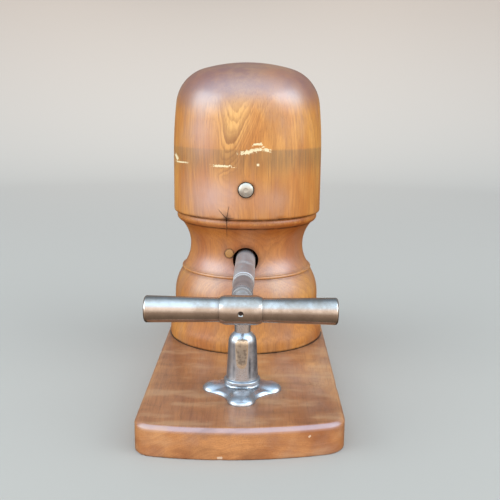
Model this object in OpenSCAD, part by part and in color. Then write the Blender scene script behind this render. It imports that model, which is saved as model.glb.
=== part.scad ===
// Hat stretcher. A turned hat block is sawn into two halves that stand on a base board.
// A screw with a cross handle turns in a pillar bracket and pushes the rear half back.
// Origin at the centre of the board's underside, +Z up, the handle at the -Y end.

/* [Base board] */
// Width of the board
base_width = 176; // [172:1:200]
// Thickness of the board
base_thickness = 27; // [24:1:36]
// Length of the board in front of the block's axis
base_front = 266; // [264:1:300]
// Length of the board behind the block's axis
base_rear = 160; // [150:1:200]
// How far each end of the board bows out at its middle
base_bow = 12; // [6:1:20]
// Radius of the board's corners, seen from above
base_corner = 20; // [6:1:26]
// Radius of the board's rounded top edge
base_edge = 3; // [1:0.5:5]
// Bevel round the board's underside
base_bevel = 0.8; // [0.2:0.1:2]

/* [Hat block] */
// Diameter of the head
head_d = 160; // [150:1:168]
// Height of the block above the board
block_height = 297; // [280:1:310]
// Radius of the crown on top of the head
crown_r = 170; // [150:5:220]
// Radius of the shoulder between crown and side
shoulder_r = 42; // [34:1:48]
// Radius of the gentle curve up the side of the head
side_r = 500; // [400:20:800]
// Height where the side starts to draw in
side_height = 200; // [180:1:215]
// Height of the groove under the head
groove_height = 138.5; // [136:0.5:146]
// Depth of that groove under the edge of the head
groove_depth = 4.5; // [3:0.5:6]
// Radius of the head's lower edge
head_edge = 3; // [1:0.5:4]
// Height of the bead under the groove
bead_height = 9; // [7:0.5:12]
// How far the bead stands out
bead_bulge = 2; // [1:0.25:3]
// Diameter of the neck at its narrowest
neck_d = 124; // [116:1:130]
// Height of the narrowest place
neck_height = 102; // [98:1:108]
// Radius of the hollow round the neck
cove_r = 40; // [36:1:50]
// Height of the thin ring under the hollow
ring_height = 77; // [74:1:80]
// Radius of that ring's round edge
ring_r = 1.6; // [1:0.1:2.5]
// Greatest diameter of the pedestal's belly
belly_d = 158.8; // [152:0.2:164]
// Height of the belly's widest place
belly_height = 47; // [40:1:54]
// Radius of the belly's curve
belly_r = 50; // [44:1:60]
// Diameter of the foot
foot_d = 170; // [166:1:172]
// Height of the straight band at the foot
foot_band = 9; // [4:1:16]
// Width of the saw cut between the halves
saw_cut = 0.4; // [0.3:0.1:1]

/* [Screw and handle] */
// Height of the screw's axis above the board
screw_height = 94.5; // [92:0.5:100]
// Diameter of the spindle
spindle_d = 12; // [10:0.5:13]
// Distance of the handle in front of the block's axis
handle_reach = 248; // [244:1:252]
// Length of the cross bar
bar_length = 155; // [130:1:170]
// Diameter of the bar at the boss
bar_d = 19.6; // [16:0.2:21]
// Diameter of the bar at its ends
bar_end_d = 21.8; // [18:0.2:24]
// Radius of the rounded rim at the bar's ends
bar_rim = 2.2; // [1:0.2:4]
// Diameter of the boss
boss_d = 23.8; // [22:0.2:28]
// Length of the boss
boss_length = 34; // [28:1:44]
// Bevel at the boss's ends
boss_bevel = 1.4; // [0.6:0.2:1.8]
// How far the spindle goes past the bar's axis
spindle_past = 2.3; // [0:0.1:4]
// Diameter of the handle's pin
handle_pin_d = 3; // [2:0.25:4]
// Depth of the pin's head below the boss's surface
pin_depth = 1; // [0.4:0.2:1.6]
// How far the pin goes into the spindle
pin_grip = 6; // [4:0.5:9]
// Diameter of the shoulder in front of the bearing
shoulder_d = 17; // [15:0.5:18]
// Length of that shoulder
shoulder_length = 5; // [3:0.5:8]
// Diameter of the thrust collar
collar_d = 20; // [18:0.5:24]
// Length of the thrust collar
collar_length = 7; // [5:0.5:10]
// Diameter of the collar's pin
collar_pin_d = 3; // [2:0.25:4]
// Way the rear half travels
travel = 50; // [30:1:60]

/* [Pillar bracket] */
// Distance of the pillar in front of the block's axis
pillar_reach = 178; // [174:1:184]
// Diameter of the pillar at its top
pillar_top_d = 25.5; // [22:0.5:28]
// Diameter of the pillar at its bottom
pillar_low_d = 28.2; // [24:0.2:29]
// Height of the pillar below its shoulder
pillar_height = 44.5; // [38:0.5:50]
// Radius of the pillar's rounded shoulder
pillar_shoulder = 12; // [6:0.5:12.5]
// Diameter of the stem above the shoulder
stem_d = 14.6; // [13:0.2:17]
// Diameter of the ring round the pillar's foot
foot_ring_d = 31; // [30:0.5:34]
// Height of that ring
foot_ring_height = 11.5; // [9:0.5:14]
// Radius of that ring's top edge
foot_ring_edge = 2; // [1:0.25:2.5]
// Reach of the foot's lobes at the sides and the back
lobe_reach = 36; // [32:0.5:40]
// Reach of the lobe at the front
front_lobe_reach = 43; // [36:0.5:46]
// Width of each lobe
lobe_width = 24; // [20:0.5:26]
// Height of each lobe's rounded top
lobe_height = 6; // [5:0.5:8]
// Diameter of the low dome that fills the corners between the lobes
web_d = 54; // [40:1:58]
// Height of that dome
web_height = 8; // [7:0.5:10]
// Diameter of the bearing barrel
barrel_d = 18.4; // [17:0.2:22]
// Length of the bearing barrel
barrel_length = 38; // [30:1:42]
// How far the barrel's middle lies in front of the pillar's axis
barrel_lead = 7; // [4:0.5:9]

/* [Tube, rod and strap] */
// Outer diameter of the nut tube
tube_d = 20.2; // [18:0.2:22]
// Bore of the nut tube
tube_bore = 15; // [14.4:0.2:16]
// Length of the nut
nut_length = 22; // [16:1:26]
// Diameter of the nut's pins
nut_pin_d = 3; // [2:0.25:3.5]
// Diameter of the tunnel in the neck
tunnel_d = 26.6; // [25:0.2:32]
// Height of the guide rod above the board
rod_height = 170; // [164:1:176]
// Diameter of the guide rod
rod_d = 15; // [12:0.5:18]
// How far the rod's domed end stands out of the head
rod_proud = 1.6; // [0.5:0.1:3]
// Height of that dome
rod_dome = 2.4; // [1:0.2:4]
// Outer diameter of the guide bush
bush_d = 22; // [21:0.5:28]
// Length of the guide bush
bush_length = 28; // [20:1:30]
// Width of the strap plate
strap_width = 46; // [42:1:56]
// Thickness of the strap plate
strap_thickness = 5; // [3:0.5:7]
// Margin of the strap plate below the tube and above the rod
strap_margin = 26; // [24:1:30]
// Distance of a strap screw from the plate's edges
strap_screw_edge = 8; // [6:0.5:10]

/* [Slide] */
// Width of the key under the rear half
key_width = 24; // [18:1:30]
// Depth of the key's groove in the board
key_depth = 12; // [9:0.5:13]
// Length of the key
key_length = 68; // [56:1:74]
// Distance from the saw cut to the key
key_start = 9; // [6:1:12]
// Diameter of the slide bolt
bolt_d = 8; // [6:0.5:10]
// Width of the bolt's square head
bolt_head = 13; // [11:0.5:16]
// Height of that head
bolt_head_height = 4.6; // [3.5:0.1:5]
// Diameter of the washer
washer_d = 26; // [22:1:34]
// Thickness of the washer
washer_thickness = 2; // [1.5:0.25:2.5]
// Depth of the washer's channel in the underside
channel_depth = 8; // [7.5:0.5:9]
// How far the bolt goes up into the rear half
bolt_grip = 40; // [30:1:55]

/* [Plug] */
// Diameter of the wooden plug in the neck
plug_d = 9; // [6:0.5:12]
// Length of the plug
plug_length = 14; // [8:1:20]
// Distance of the plug left of the middle
plug_side = 17; // [16:0.5:22]
// Height of the plug above the board
plug_height = 101; // [96:0.5:106]
// How far the plug stands out of the neck
plug_proud = 0.5; // [0:0.1:1]

/* [Wood screws] */
// Diameter of a wood screw's head
screw_head_d = 9; // [7:0.5:10]
// Diameter of a wood screw's shank
screw_shank_d = 4.6; // [3.5:0.1:5.5]
// Length of the screws in the board and the strap plate
screw_length = 25; // [20:1:28]
// Length of the screws that hold the front half
long_screw_length = 60; // [50:1:70]
// Distance of the front half's side screws from the middle
front_screw_side = 45; // [35:1:55]
// Distance of those side screws from the block's axis
front_screw_near = 32; // [24:1:40]
// Distance of the front half's middle screw from the block's axis
front_screw_far = 56; // [48:1:62]
// Distance of the key's screws from its ends
key_screw_inset = 10; // [7:1:14]
// Width of the slot in a screw's head
screw_slot = 1.1; // [0.6:0.1:1.5]
// Depth of that slot
screw_slot_depth = 1.2; // [0.6:0.1:1.6]

/* [Clearances] */
// Gap round pieces that are fixed together
fixed_gap = 0.03; // [0.02:0.01:0.1]
// Gap round shafts that turn or slide in a fit
running_gap = 0.06; // [0.03:0.01:0.1]
// Gap between faces that pass each other
sliding_gap = 0.3; // [0.2:0.05:0.5]
// Gap round the guide rod in the wood
rod_gap = 0.7; // [0.4:0.1:1.2]
// Gap between the tube and the thrust collar
tube_gap = 0.8; // [0.5:0.1:2]

/* [Hidden] */
$fn = 96;
over = 1;
half_turn = 180;

// Steps on a wide arc, on a narrow one and on an edge
arc_steps = 12;
bend_steps = 8;
edge_steps = 5;

// Colours as the photograph shows them
honey_wood = [0.74, 0.44, 0.19];
board_wood = [0.62, 0.36, 0.17];
pale_wood = [0.80, 0.60, 0.36];
worn_steel = [0.66, 0.62, 0.57];
dark_steel = [0.45, 0.43, 0.41];
nickel = [0.72, 0.72, 0.72];
brass = [0.74, 0.58, 0.30];

// Places along the board
base_length = base_front + base_rear;
block_y = (base_front - base_rear) / 2;
bow_r = cap_radius(base_width, base_bow);
front_face_y = block_y - saw_cut / 2;
rear_face_y = block_y + saw_cut / 2;
pillar_y = block_y - pillar_reach;
handle_y = block_y - handle_reach;
barrel_front_y = pillar_y - barrel_lead - barrel_length / 2;
barrel_back_y = barrel_front_y + barrel_length;
shoulder_y = barrel_front_y - sliding_gap - shoulder_length;
collar_y = barrel_back_y + sliding_gap;
tube_front_y = collar_y + collar_length + tube_gap;
strap_back_y = rear_face_y + strap_thickness;
spindle_tail_y = tube_front_y + nut_length + travel + tube_gap;
key_y = rear_face_y + key_start;
bolt_y = key_y + key_length / 2;

// Heights
top_z = base_thickness;
screw_z = top_z + screw_height;
rod_z = top_z + rod_height;
rear_z = top_z + sliding_gap;
key_floor_z = top_z - key_depth;

// Radii of the hat block
head_r = head_d / 2;
neck_r = neck_d / 2;
foot_r = foot_d / 2;
belly_top_r = belly_d / 2;
groove_r = head_r - groove_depth;
bead_low = groove_height - bead_height;
cove_x = neck_r + cove_r;
function cove_radius(height) = cove_x - sqrt(pow(cove_r, 2) - pow(height - neck_height, 2));
belly_x = belly_top_r - belly_r;
belly_turn = asin((ring_height - ring_r - belly_height) / belly_r);
cove_low_turn = half_turn - asin((ring_height + ring_r - neck_height) / cove_r);
cove_high_turn = half_turn - asin((bead_low - neck_height) / cove_r);
ring_turn = 75;

// The flare from the belly to the foot is one arc, upright where it leaves the belly
flare_out = foot_r - belly_top_r;
flare_down = belly_height - foot_band;
flare_r = (pow(flare_out, 2) + pow(flare_down, 2)) / (2 * flare_out);
flare_turn = asin(flare_down / flare_r);

// The shoulder arc touches the crown's arc and the side's arc from inside
crown_centre = [0, block_height - crown_r];
side_centre = [head_r - side_r, side_height];
shoulder_centre = circles_meet(crown_centre, crown_r - shoulder_r, side_centre, side_r - shoulder_r);
crown_turn = direction(crown_centre, shoulder_centre);
side_turn = direction(side_centre, shoulder_centre);

// Places of the screws, seen along their own axis
front_screw_places = [
  [-front_screw_side, -front_screw_near], [front_screw_side, -front_screw_near], [0, -front_screw_far]
];
key_screw_places = [-key_length / 2 + key_screw_inset, key_length / 2 - key_screw_inset];
strap_low = screw_height - strap_margin;
strap_high = rod_height + strap_margin;
strap_screw_x = strap_width / 2 - strap_screw_edge;
strap_screw_heights = [strap_low + strap_screw_edge, strap_high - strap_screw_edge];
lobe_places = [[0, lobe_reach], [90, lobe_reach], [half_turn, lobe_reach], [270, front_lobe_reach]];
lobe_r = cap_radius(lobe_width, lobe_height);
lobe_screw_z = lobe_height - lobe_r + sqrt(pow(lobe_r, 2) - pow(screw_head_d / 2, 2));

// Radius of a sphere whose cap has the given width and height
function cap_radius(width, height) = (pow(width / 2, 2) + pow(height, 2)) / (2 * height);

function direction(from, to) = atan2(to[1] - from[1], to[0] - from[0]);

// Upper crossing of two circles
function circles_meet(c1, r1, c2, r2) =
  let (
    apart = norm(c2 - c1),
    along = (pow(r1, 2) - pow(r2, 2) + pow(apart, 2)) / (2 * apart),
    aside = sqrt(pow(r1, 2) - pow(along, 2)),
    unit = (c2 - c1) / apart
  )
  c1 + along * unit + aside * [unit[1], -unit[0]];

// Points on an arc, from one direction to another
function arc(centre, radius, from, to, steps) =
  [
    for (i = [0:steps])
      let (turn = from + (to - from) * i / steps)
        centre + radius * [cos(turn), sin(turn)]
  ];

// Points on a shallow arc that bulges to the right of the line from one point to another
function bulge(from, to, height, steps) =
  let (
    half = norm(to - from) / 2,
    radius = (pow(half, 2) + pow(height, 2)) / (2 * height),
    unit = (to - from) / (2 * half),
    side = [unit[1], -unit[0]],
    centre = (from + to) / 2 + (height - radius) * side,
    start = direction(centre, from),
    turn = 2 * asin(half / radius)
  )
  arc(centre, radius, start, start + turn, steps);

// A round bar along +Y
module bar_y(y, length, d) {
  translate([0, y, 0]) rotate([-90, 0, 0]) cylinder(d = d, h = length);
}

// A wood screw that points down from its flush head
module wood_screw(length) {
  cone = (screw_head_d - screw_shank_d) / 2;
  difference() {
    union() {
      translate([0, 0, -cone]) cylinder(d1 = screw_shank_d, d2 = screw_head_d, h = cone);
      translate([0, 0, -length]) cylinder(d = screw_shank_d, h = length - cone);
    }
    translate([-screw_head_d, -screw_slot / 2, -screw_slot_depth])
      cube([2 * screw_head_d, screw_slot, screw_slot_depth + over]);
  }
}

// The room for a wood screw, open above its head
module wood_screw_hole(length) {
  cone = (screw_head_d - screw_shank_d) / 2;
  hole_d = screw_shank_d + 2 * fixed_gap;
  mouth_d = screw_head_d + 2 * fixed_gap;
  translate([0, 0, -cone]) cylinder(d1 = hole_d, d2 = mouth_d, h = cone);
  translate([0, 0, -length - fixed_gap]) cylinder(d = hole_d, h = length);
  cylinder(d = mouth_d, h = over);
}

module at_front_screws() {
  for (place = front_screw_places)
    translate([place[0], block_y + place[1], 0]) rotate([half_turn, 0, 0]) children();
}

module at_bracket_screws() {
  for (place = lobe_places)
    translate([0, pillar_y, top_z + lobe_screw_z])
      rotate([0, 0, place[0]])
        translate([place[1] - lobe_width / 2, 0, 0]) children();
}

module at_strap_screws() {
  for (side = [-1, 1], height = strap_screw_heights)
    translate([side * strap_screw_x, rear_face_y, top_z + height]) rotate([90, 0, 0]) children();
}

module at_key_screws() {
  for (place = key_screw_places)
    translate([0, bolt_y + place, key_floor_z + sliding_gap]) rotate([half_turn, 0, 0]) children();
}

// Ring of points round the board, CCW from above. The corner arcs touch the sides and the bows.
function base_ring(inset, z) =
  let (
    corner_x = base_width / 2 - base_corner,
    bow_y = base_length / 2 - bow_r,
    corner_y = bow_y + sqrt(pow(bow_r - base_corner, 2) - pow(corner_x, 2)),
    turn = direction([0, bow_y], [corner_x, corner_y]),
    step = 2 * (90 - turn) / (bend_steps + 2),
    end = concat(
      arc([corner_x, corner_y], base_corner - inset, 0, turn, edge_steps),
      arc([0, bow_y], bow_r - inset, turn + step, half_turn - turn - step, bend_steps),
      arc([-corner_x, corner_y], base_corner - inset, half_turn - turn, half_turn, edge_steps)
    )
  )
  [for (side = [1, -1], point = end) [side * point[0], side * point[1], z]];

// The board before it is cut, as a stack of rings with a rounded top edge
module base_blank() {
  slices = concat(
    [[base_bevel, 0], [0, base_bevel]],
    [for (turn = [0:30:90]) [base_edge * (1 - cos(turn)), top_z - base_edge * (1 - sin(turn))]]
  );
  rings = [for (slice = slices) base_ring(slice[0], slice[1])];
  count = len(rings[0]);
  last = len(rings) - 1;
  walls = [
    for (k = [0:last - 1], i = [0:count - 1])
      let (j = (i + 1) % count, low = k * count, high = low + count)
        each [[low + i, high + i, high + j], [low + i, high + j, low + j]]
  ];
  floor = [for (i = [0:count - 1]) i];
  lid = [for (i = [0:count - 1]) (last + 1) * count - 1 - i];
  polyhedron(points = [for (ring = rings) each ring], faces = concat(walls, [floor, lid]));
}

// A slot with round ends that follows the bolt along its way, cut down from the given height
module bolt_way(width, z, depth) {
  translate([0, bolt_y, z - depth])
    linear_extrude(depth)
      union() {
        translate([-width / 2, 0]) square([width, travel]);
        circle(d = width);
        translate([0, travel]) circle(d = width);
      }
}

module base_board() {
  groove = key_width + 2 * sliding_gap;
  color(board_wood) difference() {
    base_blank();
    translate([-groove / 2, key_y - sliding_gap, key_floor_z])
      cube([groove, key_length + travel + 2 * sliding_gap, key_depth + over]);
    bolt_way(bolt_d + 2 * sliding_gap, key_floor_z + over, base_thickness);
    bolt_way(washer_d + 2 * sliding_gap, channel_depth, channel_depth + over);
    at_front_screws() wood_screw_hole(long_screw_length);
    at_bracket_screws() wood_screw_hole(screw_length);
  }
}

// Half of the block's outline from the foot to the crown, as [radius, height] points
function block_outline(foot_z) = concat(
  [[0, foot_z], [foot_r, foot_z]],
  arc([foot_r + flare_r - flare_out, belly_height], flare_r, half_turn + flare_turn, half_turn, bend_steps),
  arc([belly_x, belly_height], belly_r, belly_turn / bend_steps, belly_turn, bend_steps),
  arc([cove_radius(ring_height) - ring_r / 2, ring_height], ring_r, -ring_turn, ring_turn, edge_steps),
  arc([cove_x, neck_height], cove_r, cove_low_turn, cove_high_turn, arc_steps),
  bulge([cove_radius(bead_low) + bead_bulge / 2, bead_low], [groove_r, groove_height], bead_bulge, bend_steps),
  arc([head_r - head_edge, groove_height + head_edge], head_edge, -90, 0, edge_steps),
  arc(side_centre, side_r, 0, side_turn, edge_steps),
  arc(shoulder_centre, shoulder_r, side_turn, crown_turn, arc_steps),
  arc(crown_centre, crown_r, crown_turn, 90, bend_steps)
);

// Half of the turned block on the +Y side of the saw cut
module half_block(foot_z) {
  rotate_extrude(angle = half_turn) polygon(block_outline(foot_z));
}

module front_block() {
  rod_hole = rod_d + 2 * rod_gap;
  color(honey_wood) difference() {
    translate([0, front_face_y, top_z]) rotate([0, 0, half_turn]) half_block(0);
    translate([0, 0, screw_z]) bar_y(front_face_y - foot_r, foot_r + over, tunnel_d);
    translate([0, 0, rod_z]) bar_y(front_face_y - head_r - over, head_r + 2 * over, rod_hole);
    translate([0, 0, rod_z]) bar_y(front_face_y - bush_length, bush_length + over, bush_d + 2 * fixed_gap);
    plug_room();
    at_front_screws() wood_screw_hole(long_screw_length);
  }
}

module front_block_screws() {
  color(dark_steel) at_front_screws() wood_screw(long_screw_length);
}

// The plug's face lies just outside the hollow of the neck
plug_z = top_z + plug_height;
plug_face_y = front_face_y - sqrt(pow(cove_radius(plug_height), 2) - pow(plug_side, 2)) - plug_proud;

module plug_room() {
  translate([-plug_side, 0, plug_z]) bar_y(plug_face_y - over, plug_length + over, plug_d + 2 * fixed_gap);
}

module neck_plug() {
  color(pale_wood) translate([-plug_side, 0, plug_z]) bar_y(plug_face_y, plug_length - fixed_gap, plug_d);
}

module guide_bush() {
  color(brass) translate([0, 0, rod_z]) difference() {
    bar_y(front_face_y - bush_length + fixed_gap, bush_length - fixed_gap, bush_d);
    bar_y(front_face_y - bush_length - over, bush_length + 2 * over, rod_d + 2 * running_gap);
  }
}

// One lobe of the bracket's foot, a round bar half sunk in the board, before it is cut level
module lobe(reach) {
  end_x = reach - lobe_width / 2;
  translate([0, 0, lobe_height - lobe_r]) {
    rotate([0, 90, 0]) cylinder(r = lobe_r, h = end_x);
    translate([end_x, 0, 0]) sphere(r = lobe_r);
  }
}

// The lobed foot, cut level with the board
module lobed_foot() {
  web_r = cap_radius(web_d, web_height);
  room = 2 * (max(lobe_reach, front_lobe_reach) + lobe_r);
  intersection() {
    union() {
      for (place = lobe_places) rotate([0, 0, place[0]]) lobe(place[1]);
      translate([0, 0, web_height - web_r]) sphere(r = web_r);
    }
    translate([-room / 2, -room / 2, 0]) cube([room, room, room]);
  }
}

// Half outline of the pillar above the board
function pillar_outline() = concat(
  [[0, 0], [foot_ring_d / 2, 0]],
  arc([foot_ring_d / 2 - foot_ring_edge, foot_ring_height - foot_ring_edge], foot_ring_edge, 0, 90, edge_steps),
  [[pillar_low_d / 2, foot_ring_height]],
  arc([pillar_top_d / 2 - pillar_shoulder, pillar_height], pillar_shoulder, 0,
      acos((stem_d / 2 - pillar_top_d / 2 + pillar_shoulder) / pillar_shoulder), bend_steps),
  [[stem_d / 2, screw_height], [0, screw_height]]
);

module pillar_bracket() {
  color(nickel) difference() {
    union() {
      translate([0, pillar_y, top_z]) lobed_foot();
      translate([0, pillar_y, top_z]) rotate_extrude() polygon(pillar_outline());
      translate([0, 0, screw_z]) bar_y(barrel_front_y, barrel_length, barrel_d);
    }
    translate([0, 0, screw_z])
      bar_y(barrel_front_y - over, barrel_length + 2 * over, spindle_d + 2 * running_gap);
    at_bracket_screws() wood_screw_hole(screw_length);
  }
}

module bracket_screws() {
  color(dark_steel) at_bracket_screws() wood_screw(screw_length);
}

// Front end of the spindle, inside the bar
spindle_front_y = handle_y - spindle_past;

module spindle() {
  color(worn_steel) translate([0, 0, screw_z]) difference() {
    union() {
      bar_y(spindle_front_y, spindle_tail_y - spindle_front_y, spindle_d);
      bar_y(shoulder_y, shoulder_length, shoulder_d);
    }
    translate([0, collar_y + collar_length / 2, 0]) rotate([0, 90, 0])
      cylinder(d = collar_pin_d + 2 * fixed_gap, h = collar_d, center = true);
    bar_y(spindle_front_y - over, pin_grip + over, handle_pin_d + 2 * fixed_gap);
  }
}

// Half outline of the bar, as [radius, distance from its middle] points
function bar_outline() = concat(
  [[0, 0], [bar_d / 2, 0], [bar_d / 2, boss_length / 2]],
  arc([bar_end_d / 2 - bar_rim, bar_length / 2 - bar_rim], bar_rim, 0, 90, edge_steps),
  [[0, bar_length / 2]]
);

module handle_bar() {
  color(worn_steel) translate([0, handle_y, screw_z]) difference() {
    for (side = [-90, 90]) rotate([0, side, 0]) rotate_extrude() polygon(bar_outline());
    bar_y(-spindle_past - fixed_gap, bar_d, spindle_d + 2 * fixed_gap);
    bar_y(-bar_d, bar_d, handle_pin_d + 2 * fixed_gap);
  }
}

// Half outline of the boss, as [radius, distance from its middle] points
boss_outline = [
  [bar_d / 2 + fixed_gap, -boss_length / 2], [boss_d / 2 - boss_bevel, -boss_length / 2],
  [boss_d / 2, -boss_length / 2 + boss_bevel], [boss_d / 2, boss_length / 2 - boss_bevel],
  [boss_d / 2 - boss_bevel, boss_length / 2], [bar_d / 2 + fixed_gap, boss_length / 2]
];

module handle_boss() {
  color(worn_steel) translate([0, handle_y, screw_z]) difference() {
    rotate([0, 90, 0]) rotate_extrude() polygon(boss_outline);
    bar_y(0, boss_d, spindle_d + 2 * fixed_gap);
    bar_y(-boss_d, boss_d, handle_pin_d + 2 * fixed_gap);
  }
}

module handle_pin() {
  pin_y = handle_y - boss_d / 2 + pin_depth;
  pin_end_y = spindle_front_y + pin_grip - fixed_gap;
  color(dark_steel) translate([0, 0, screw_z]) bar_y(pin_y, pin_end_y - pin_y, handle_pin_d);
}

module thrust_collar() {
  color(worn_steel) translate([0, 0, screw_z]) difference() {
    bar_y(collar_y, collar_length, collar_d);
    bar_y(collar_y - over, collar_length + 2 * over, spindle_d + 2 * fixed_gap);
    translate([0, collar_y + collar_length / 2, 0]) rotate([0, 90, 0])
      cylinder(d = collar_pin_d + 2 * fixed_gap, h = collar_d + over, center = true);
  }
}

module collar_pin() {
  color(dark_steel) translate([0, collar_y + collar_length / 2, screw_z]) rotate([0, 90, 0])
    cylinder(d = collar_pin_d, h = collar_d - 2 * fixed_gap, center = true);
}

module rear_block() {
  pocket = strap_width + 2 * sliding_gap;
  color(honey_wood) difference() {
    translate([0, rear_face_y, top_z]) half_block(sliding_gap);
    translate([-pocket / 2, rear_face_y - over, top_z + strap_low - sliding_gap])
      cube([pocket, strap_thickness + over + fixed_gap, strap_high - strap_low + 2 * sliding_gap]);
    at_strap_screws() wood_screw_hole(screw_length);
    at_key_screws() wood_screw_hole(screw_length);
    translate([0, bolt_y, 0]) cylinder(d = bolt_d + 2 * fixed_gap, h = rear_z + bolt_grip + fixed_gap);
  }
}

module strap_plate() {
  color(dark_steel) difference() {
    translate([-strap_width / 2, rear_face_y, top_z + strap_low])
      cube([strap_width, strap_thickness, strap_high - strap_low]);
    translate([0, 0, screw_z]) bar_y(rear_face_y - over, strap_thickness + 2 * over, tube_d + 2 * fixed_gap);
    translate([0, 0, rod_z]) bar_y(rear_face_y - over, strap_thickness + 2 * over, rod_d + 2 * fixed_gap);
    at_strap_screws() wood_screw_hole(screw_length);
  }
}

module strap_screws() {
  color(worn_steel) at_strap_screws() wood_screw(screw_length);
}

module nut_tube() {
  color(worn_steel) translate([0, 0, screw_z]) difference() {
    bar_y(tube_front_y, strap_back_y - tube_front_y, tube_d);
    bar_y(tube_front_y - over, strap_back_y - tube_front_y + 2 * over, tube_bore);
    translate([0, tube_front_y + nut_length / 2, 0]) rotate([0, 90, 0])
      cylinder(d = nut_pin_d + 2 * fixed_gap, h = tube_d + over, center = true);
  }
}

// Depth of the pins' inner ends, halfway through the nut's wall
nut_pin_end = (spindle_d + tube_bore) / 4;

module tube_nut() {
  color(brass) translate([0, 0, screw_z]) difference() {
    bar_y(tube_front_y, nut_length, tube_bore - 2 * fixed_gap);
    bar_y(tube_front_y - over, nut_length + 2 * over, spindle_d + 2 * running_gap);
    for (side = [-1, 1])
      translate([side * (nut_pin_end - fixed_gap), tube_front_y + nut_length / 2, 0]) rotate([0, side * 90, 0])
        cylinder(d = nut_pin_d + 2 * fixed_gap, h = tube_d);
  }
}

module nut_pins() {
  color(dark_steel) for (side = [-1, 1])
    translate([side * nut_pin_end, tube_front_y + nut_length / 2, screw_z]) rotate([0, side * 90, 0])
      cylinder(d = nut_pin_d, h = tube_d / 2 - nut_pin_end - fixed_gap);
}

// The dome on the rod's front end is part of a sphere
rod_front_y = front_face_y - head_r - rod_proud;
rod_dome_r = cap_radius(rod_d, rod_dome);

module guide_rod() {
  color(nickel) translate([0, 0, rod_z]) union() {
    bar_y(rod_front_y + rod_dome, strap_back_y - rod_front_y - rod_dome, rod_d);
    intersection() {
      translate([0, rod_front_y + rod_dome_r, 0]) rotate([90, 0, 0]) sphere(r = rod_dome_r);
      bar_y(rod_front_y, rod_dome + over, rod_d);
    }
  }
}

module slide_key() {
  color(board_wood) difference() {
    translate([-key_width / 2, key_y, key_floor_z + sliding_gap])
      cube([key_width, key_length, key_depth - fixed_gap]);
    at_key_screws() wood_screw_hole(screw_length);
    translate([0, bolt_y, 0]) cylinder(d = bolt_d + 2 * fixed_gap, h = rear_z + over);
  }
}

module key_screws() {
  color(worn_steel) at_key_screws() wood_screw(screw_length);
}

washer_z = channel_depth - sliding_gap - washer_thickness;

module slide_bolt() {
  head_z = washer_z - bolt_head_height;
  color(dark_steel) union() {
    translate([-bolt_head / 2, bolt_y - bolt_head / 2, head_z]) cube([bolt_head, bolt_head, bolt_head_height]);
    translate([0, bolt_y, washer_z - over]) cylinder(d = bolt_d, h = rear_z + bolt_grip - washer_z + over);
  }
}

module slide_washer() {
  color(worn_steel) translate([0, bolt_y, washer_z + fixed_gap]) difference() {
    cylinder(d = washer_d, h = washer_thickness - fixed_gap);
    translate([0, 0, -over]) cylinder(d = bolt_d + 2 * fixed_gap, h = washer_thickness + 2 * over);
  }
}

base_board();
front_block();
front_block_screws();
neck_plug();
guide_bush();
pillar_bracket();
bracket_screws();
spindle();
handle_bar();
handle_boss();
handle_pin();
thrust_collar();
collar_pin();
rear_block();
strap_plate();
strap_screws();
nut_tube();
tube_nut();
nut_pins();
guide_rod();
slide_key();
key_screws();
slide_bolt();
slide_washer();
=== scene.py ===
import math
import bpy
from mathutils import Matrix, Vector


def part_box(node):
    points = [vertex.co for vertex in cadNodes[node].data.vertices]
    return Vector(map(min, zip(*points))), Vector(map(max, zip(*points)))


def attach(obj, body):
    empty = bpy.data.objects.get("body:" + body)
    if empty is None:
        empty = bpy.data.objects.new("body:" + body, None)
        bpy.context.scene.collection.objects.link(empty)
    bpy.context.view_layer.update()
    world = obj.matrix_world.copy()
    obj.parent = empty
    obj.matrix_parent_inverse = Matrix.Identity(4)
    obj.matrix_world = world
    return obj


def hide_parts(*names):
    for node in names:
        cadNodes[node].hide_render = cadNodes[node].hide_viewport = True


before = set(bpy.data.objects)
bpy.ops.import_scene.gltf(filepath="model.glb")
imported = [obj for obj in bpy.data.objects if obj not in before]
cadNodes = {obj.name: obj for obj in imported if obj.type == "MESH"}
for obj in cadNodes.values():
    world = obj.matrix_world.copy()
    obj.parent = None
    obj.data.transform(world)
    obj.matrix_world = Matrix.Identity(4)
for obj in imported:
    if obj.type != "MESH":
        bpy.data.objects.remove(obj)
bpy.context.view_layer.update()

from types import SimpleNamespace

import bmesh
import bpy
import numpy as np
from mathutils import Matrix

# Hat stretcher: a split hat block on a board, opened by a screw with a cross handle.
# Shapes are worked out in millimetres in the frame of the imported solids.
scene = bpy.context.scene
mm = 0.001
boardTop = 27.0  # height of the board's upper face
fit = 0.03  # room round a solid that sits in a hole


def named(values):  # lets the values of a piece be read as s.name
    return SimpleNamespace(**values)


def nodeBox(name):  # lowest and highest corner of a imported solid, in mm
    return [np.array(corner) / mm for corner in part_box(name)]


def nodeMiddle(name):
    low, high = nodeBox(name)
    return (low + high) / 2


def tone(red, green, blue):  # screen colour, 0 to 255, as the shader wants it
    share = np.array([red, green, blue]) / 255
    return (*np.where(share <= 0.04045, share / 12.92, ((share + 0.055) / 1.055) ** 2.4), 1.0)


def standAt(thing, right, up, back, place):  # sets a camera or lamp down by its axes and its place in mm
    turn = Matrix.Identity(4)
    for column, axis in enumerate((right, up, back, np.array(place) * mm)):
        turn.col[column].xyz = axis
    thing.matrix_world = turn
    scene.collection.objects.link(thing)


# Camera of the photograph: right hand, up, the way back along the sight line, and the place it stands
cameraSet = {
    "right": (0.99985, 0.01379, 0.01047), "up": (-0.01303, 0.20089, 0.97953),
    "back": (0.0114, -0.9795, 0.2010), "place": (13.5, -779.5, 290.6), "lens": 54.58, "sensor": 36.0,
}


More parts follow.
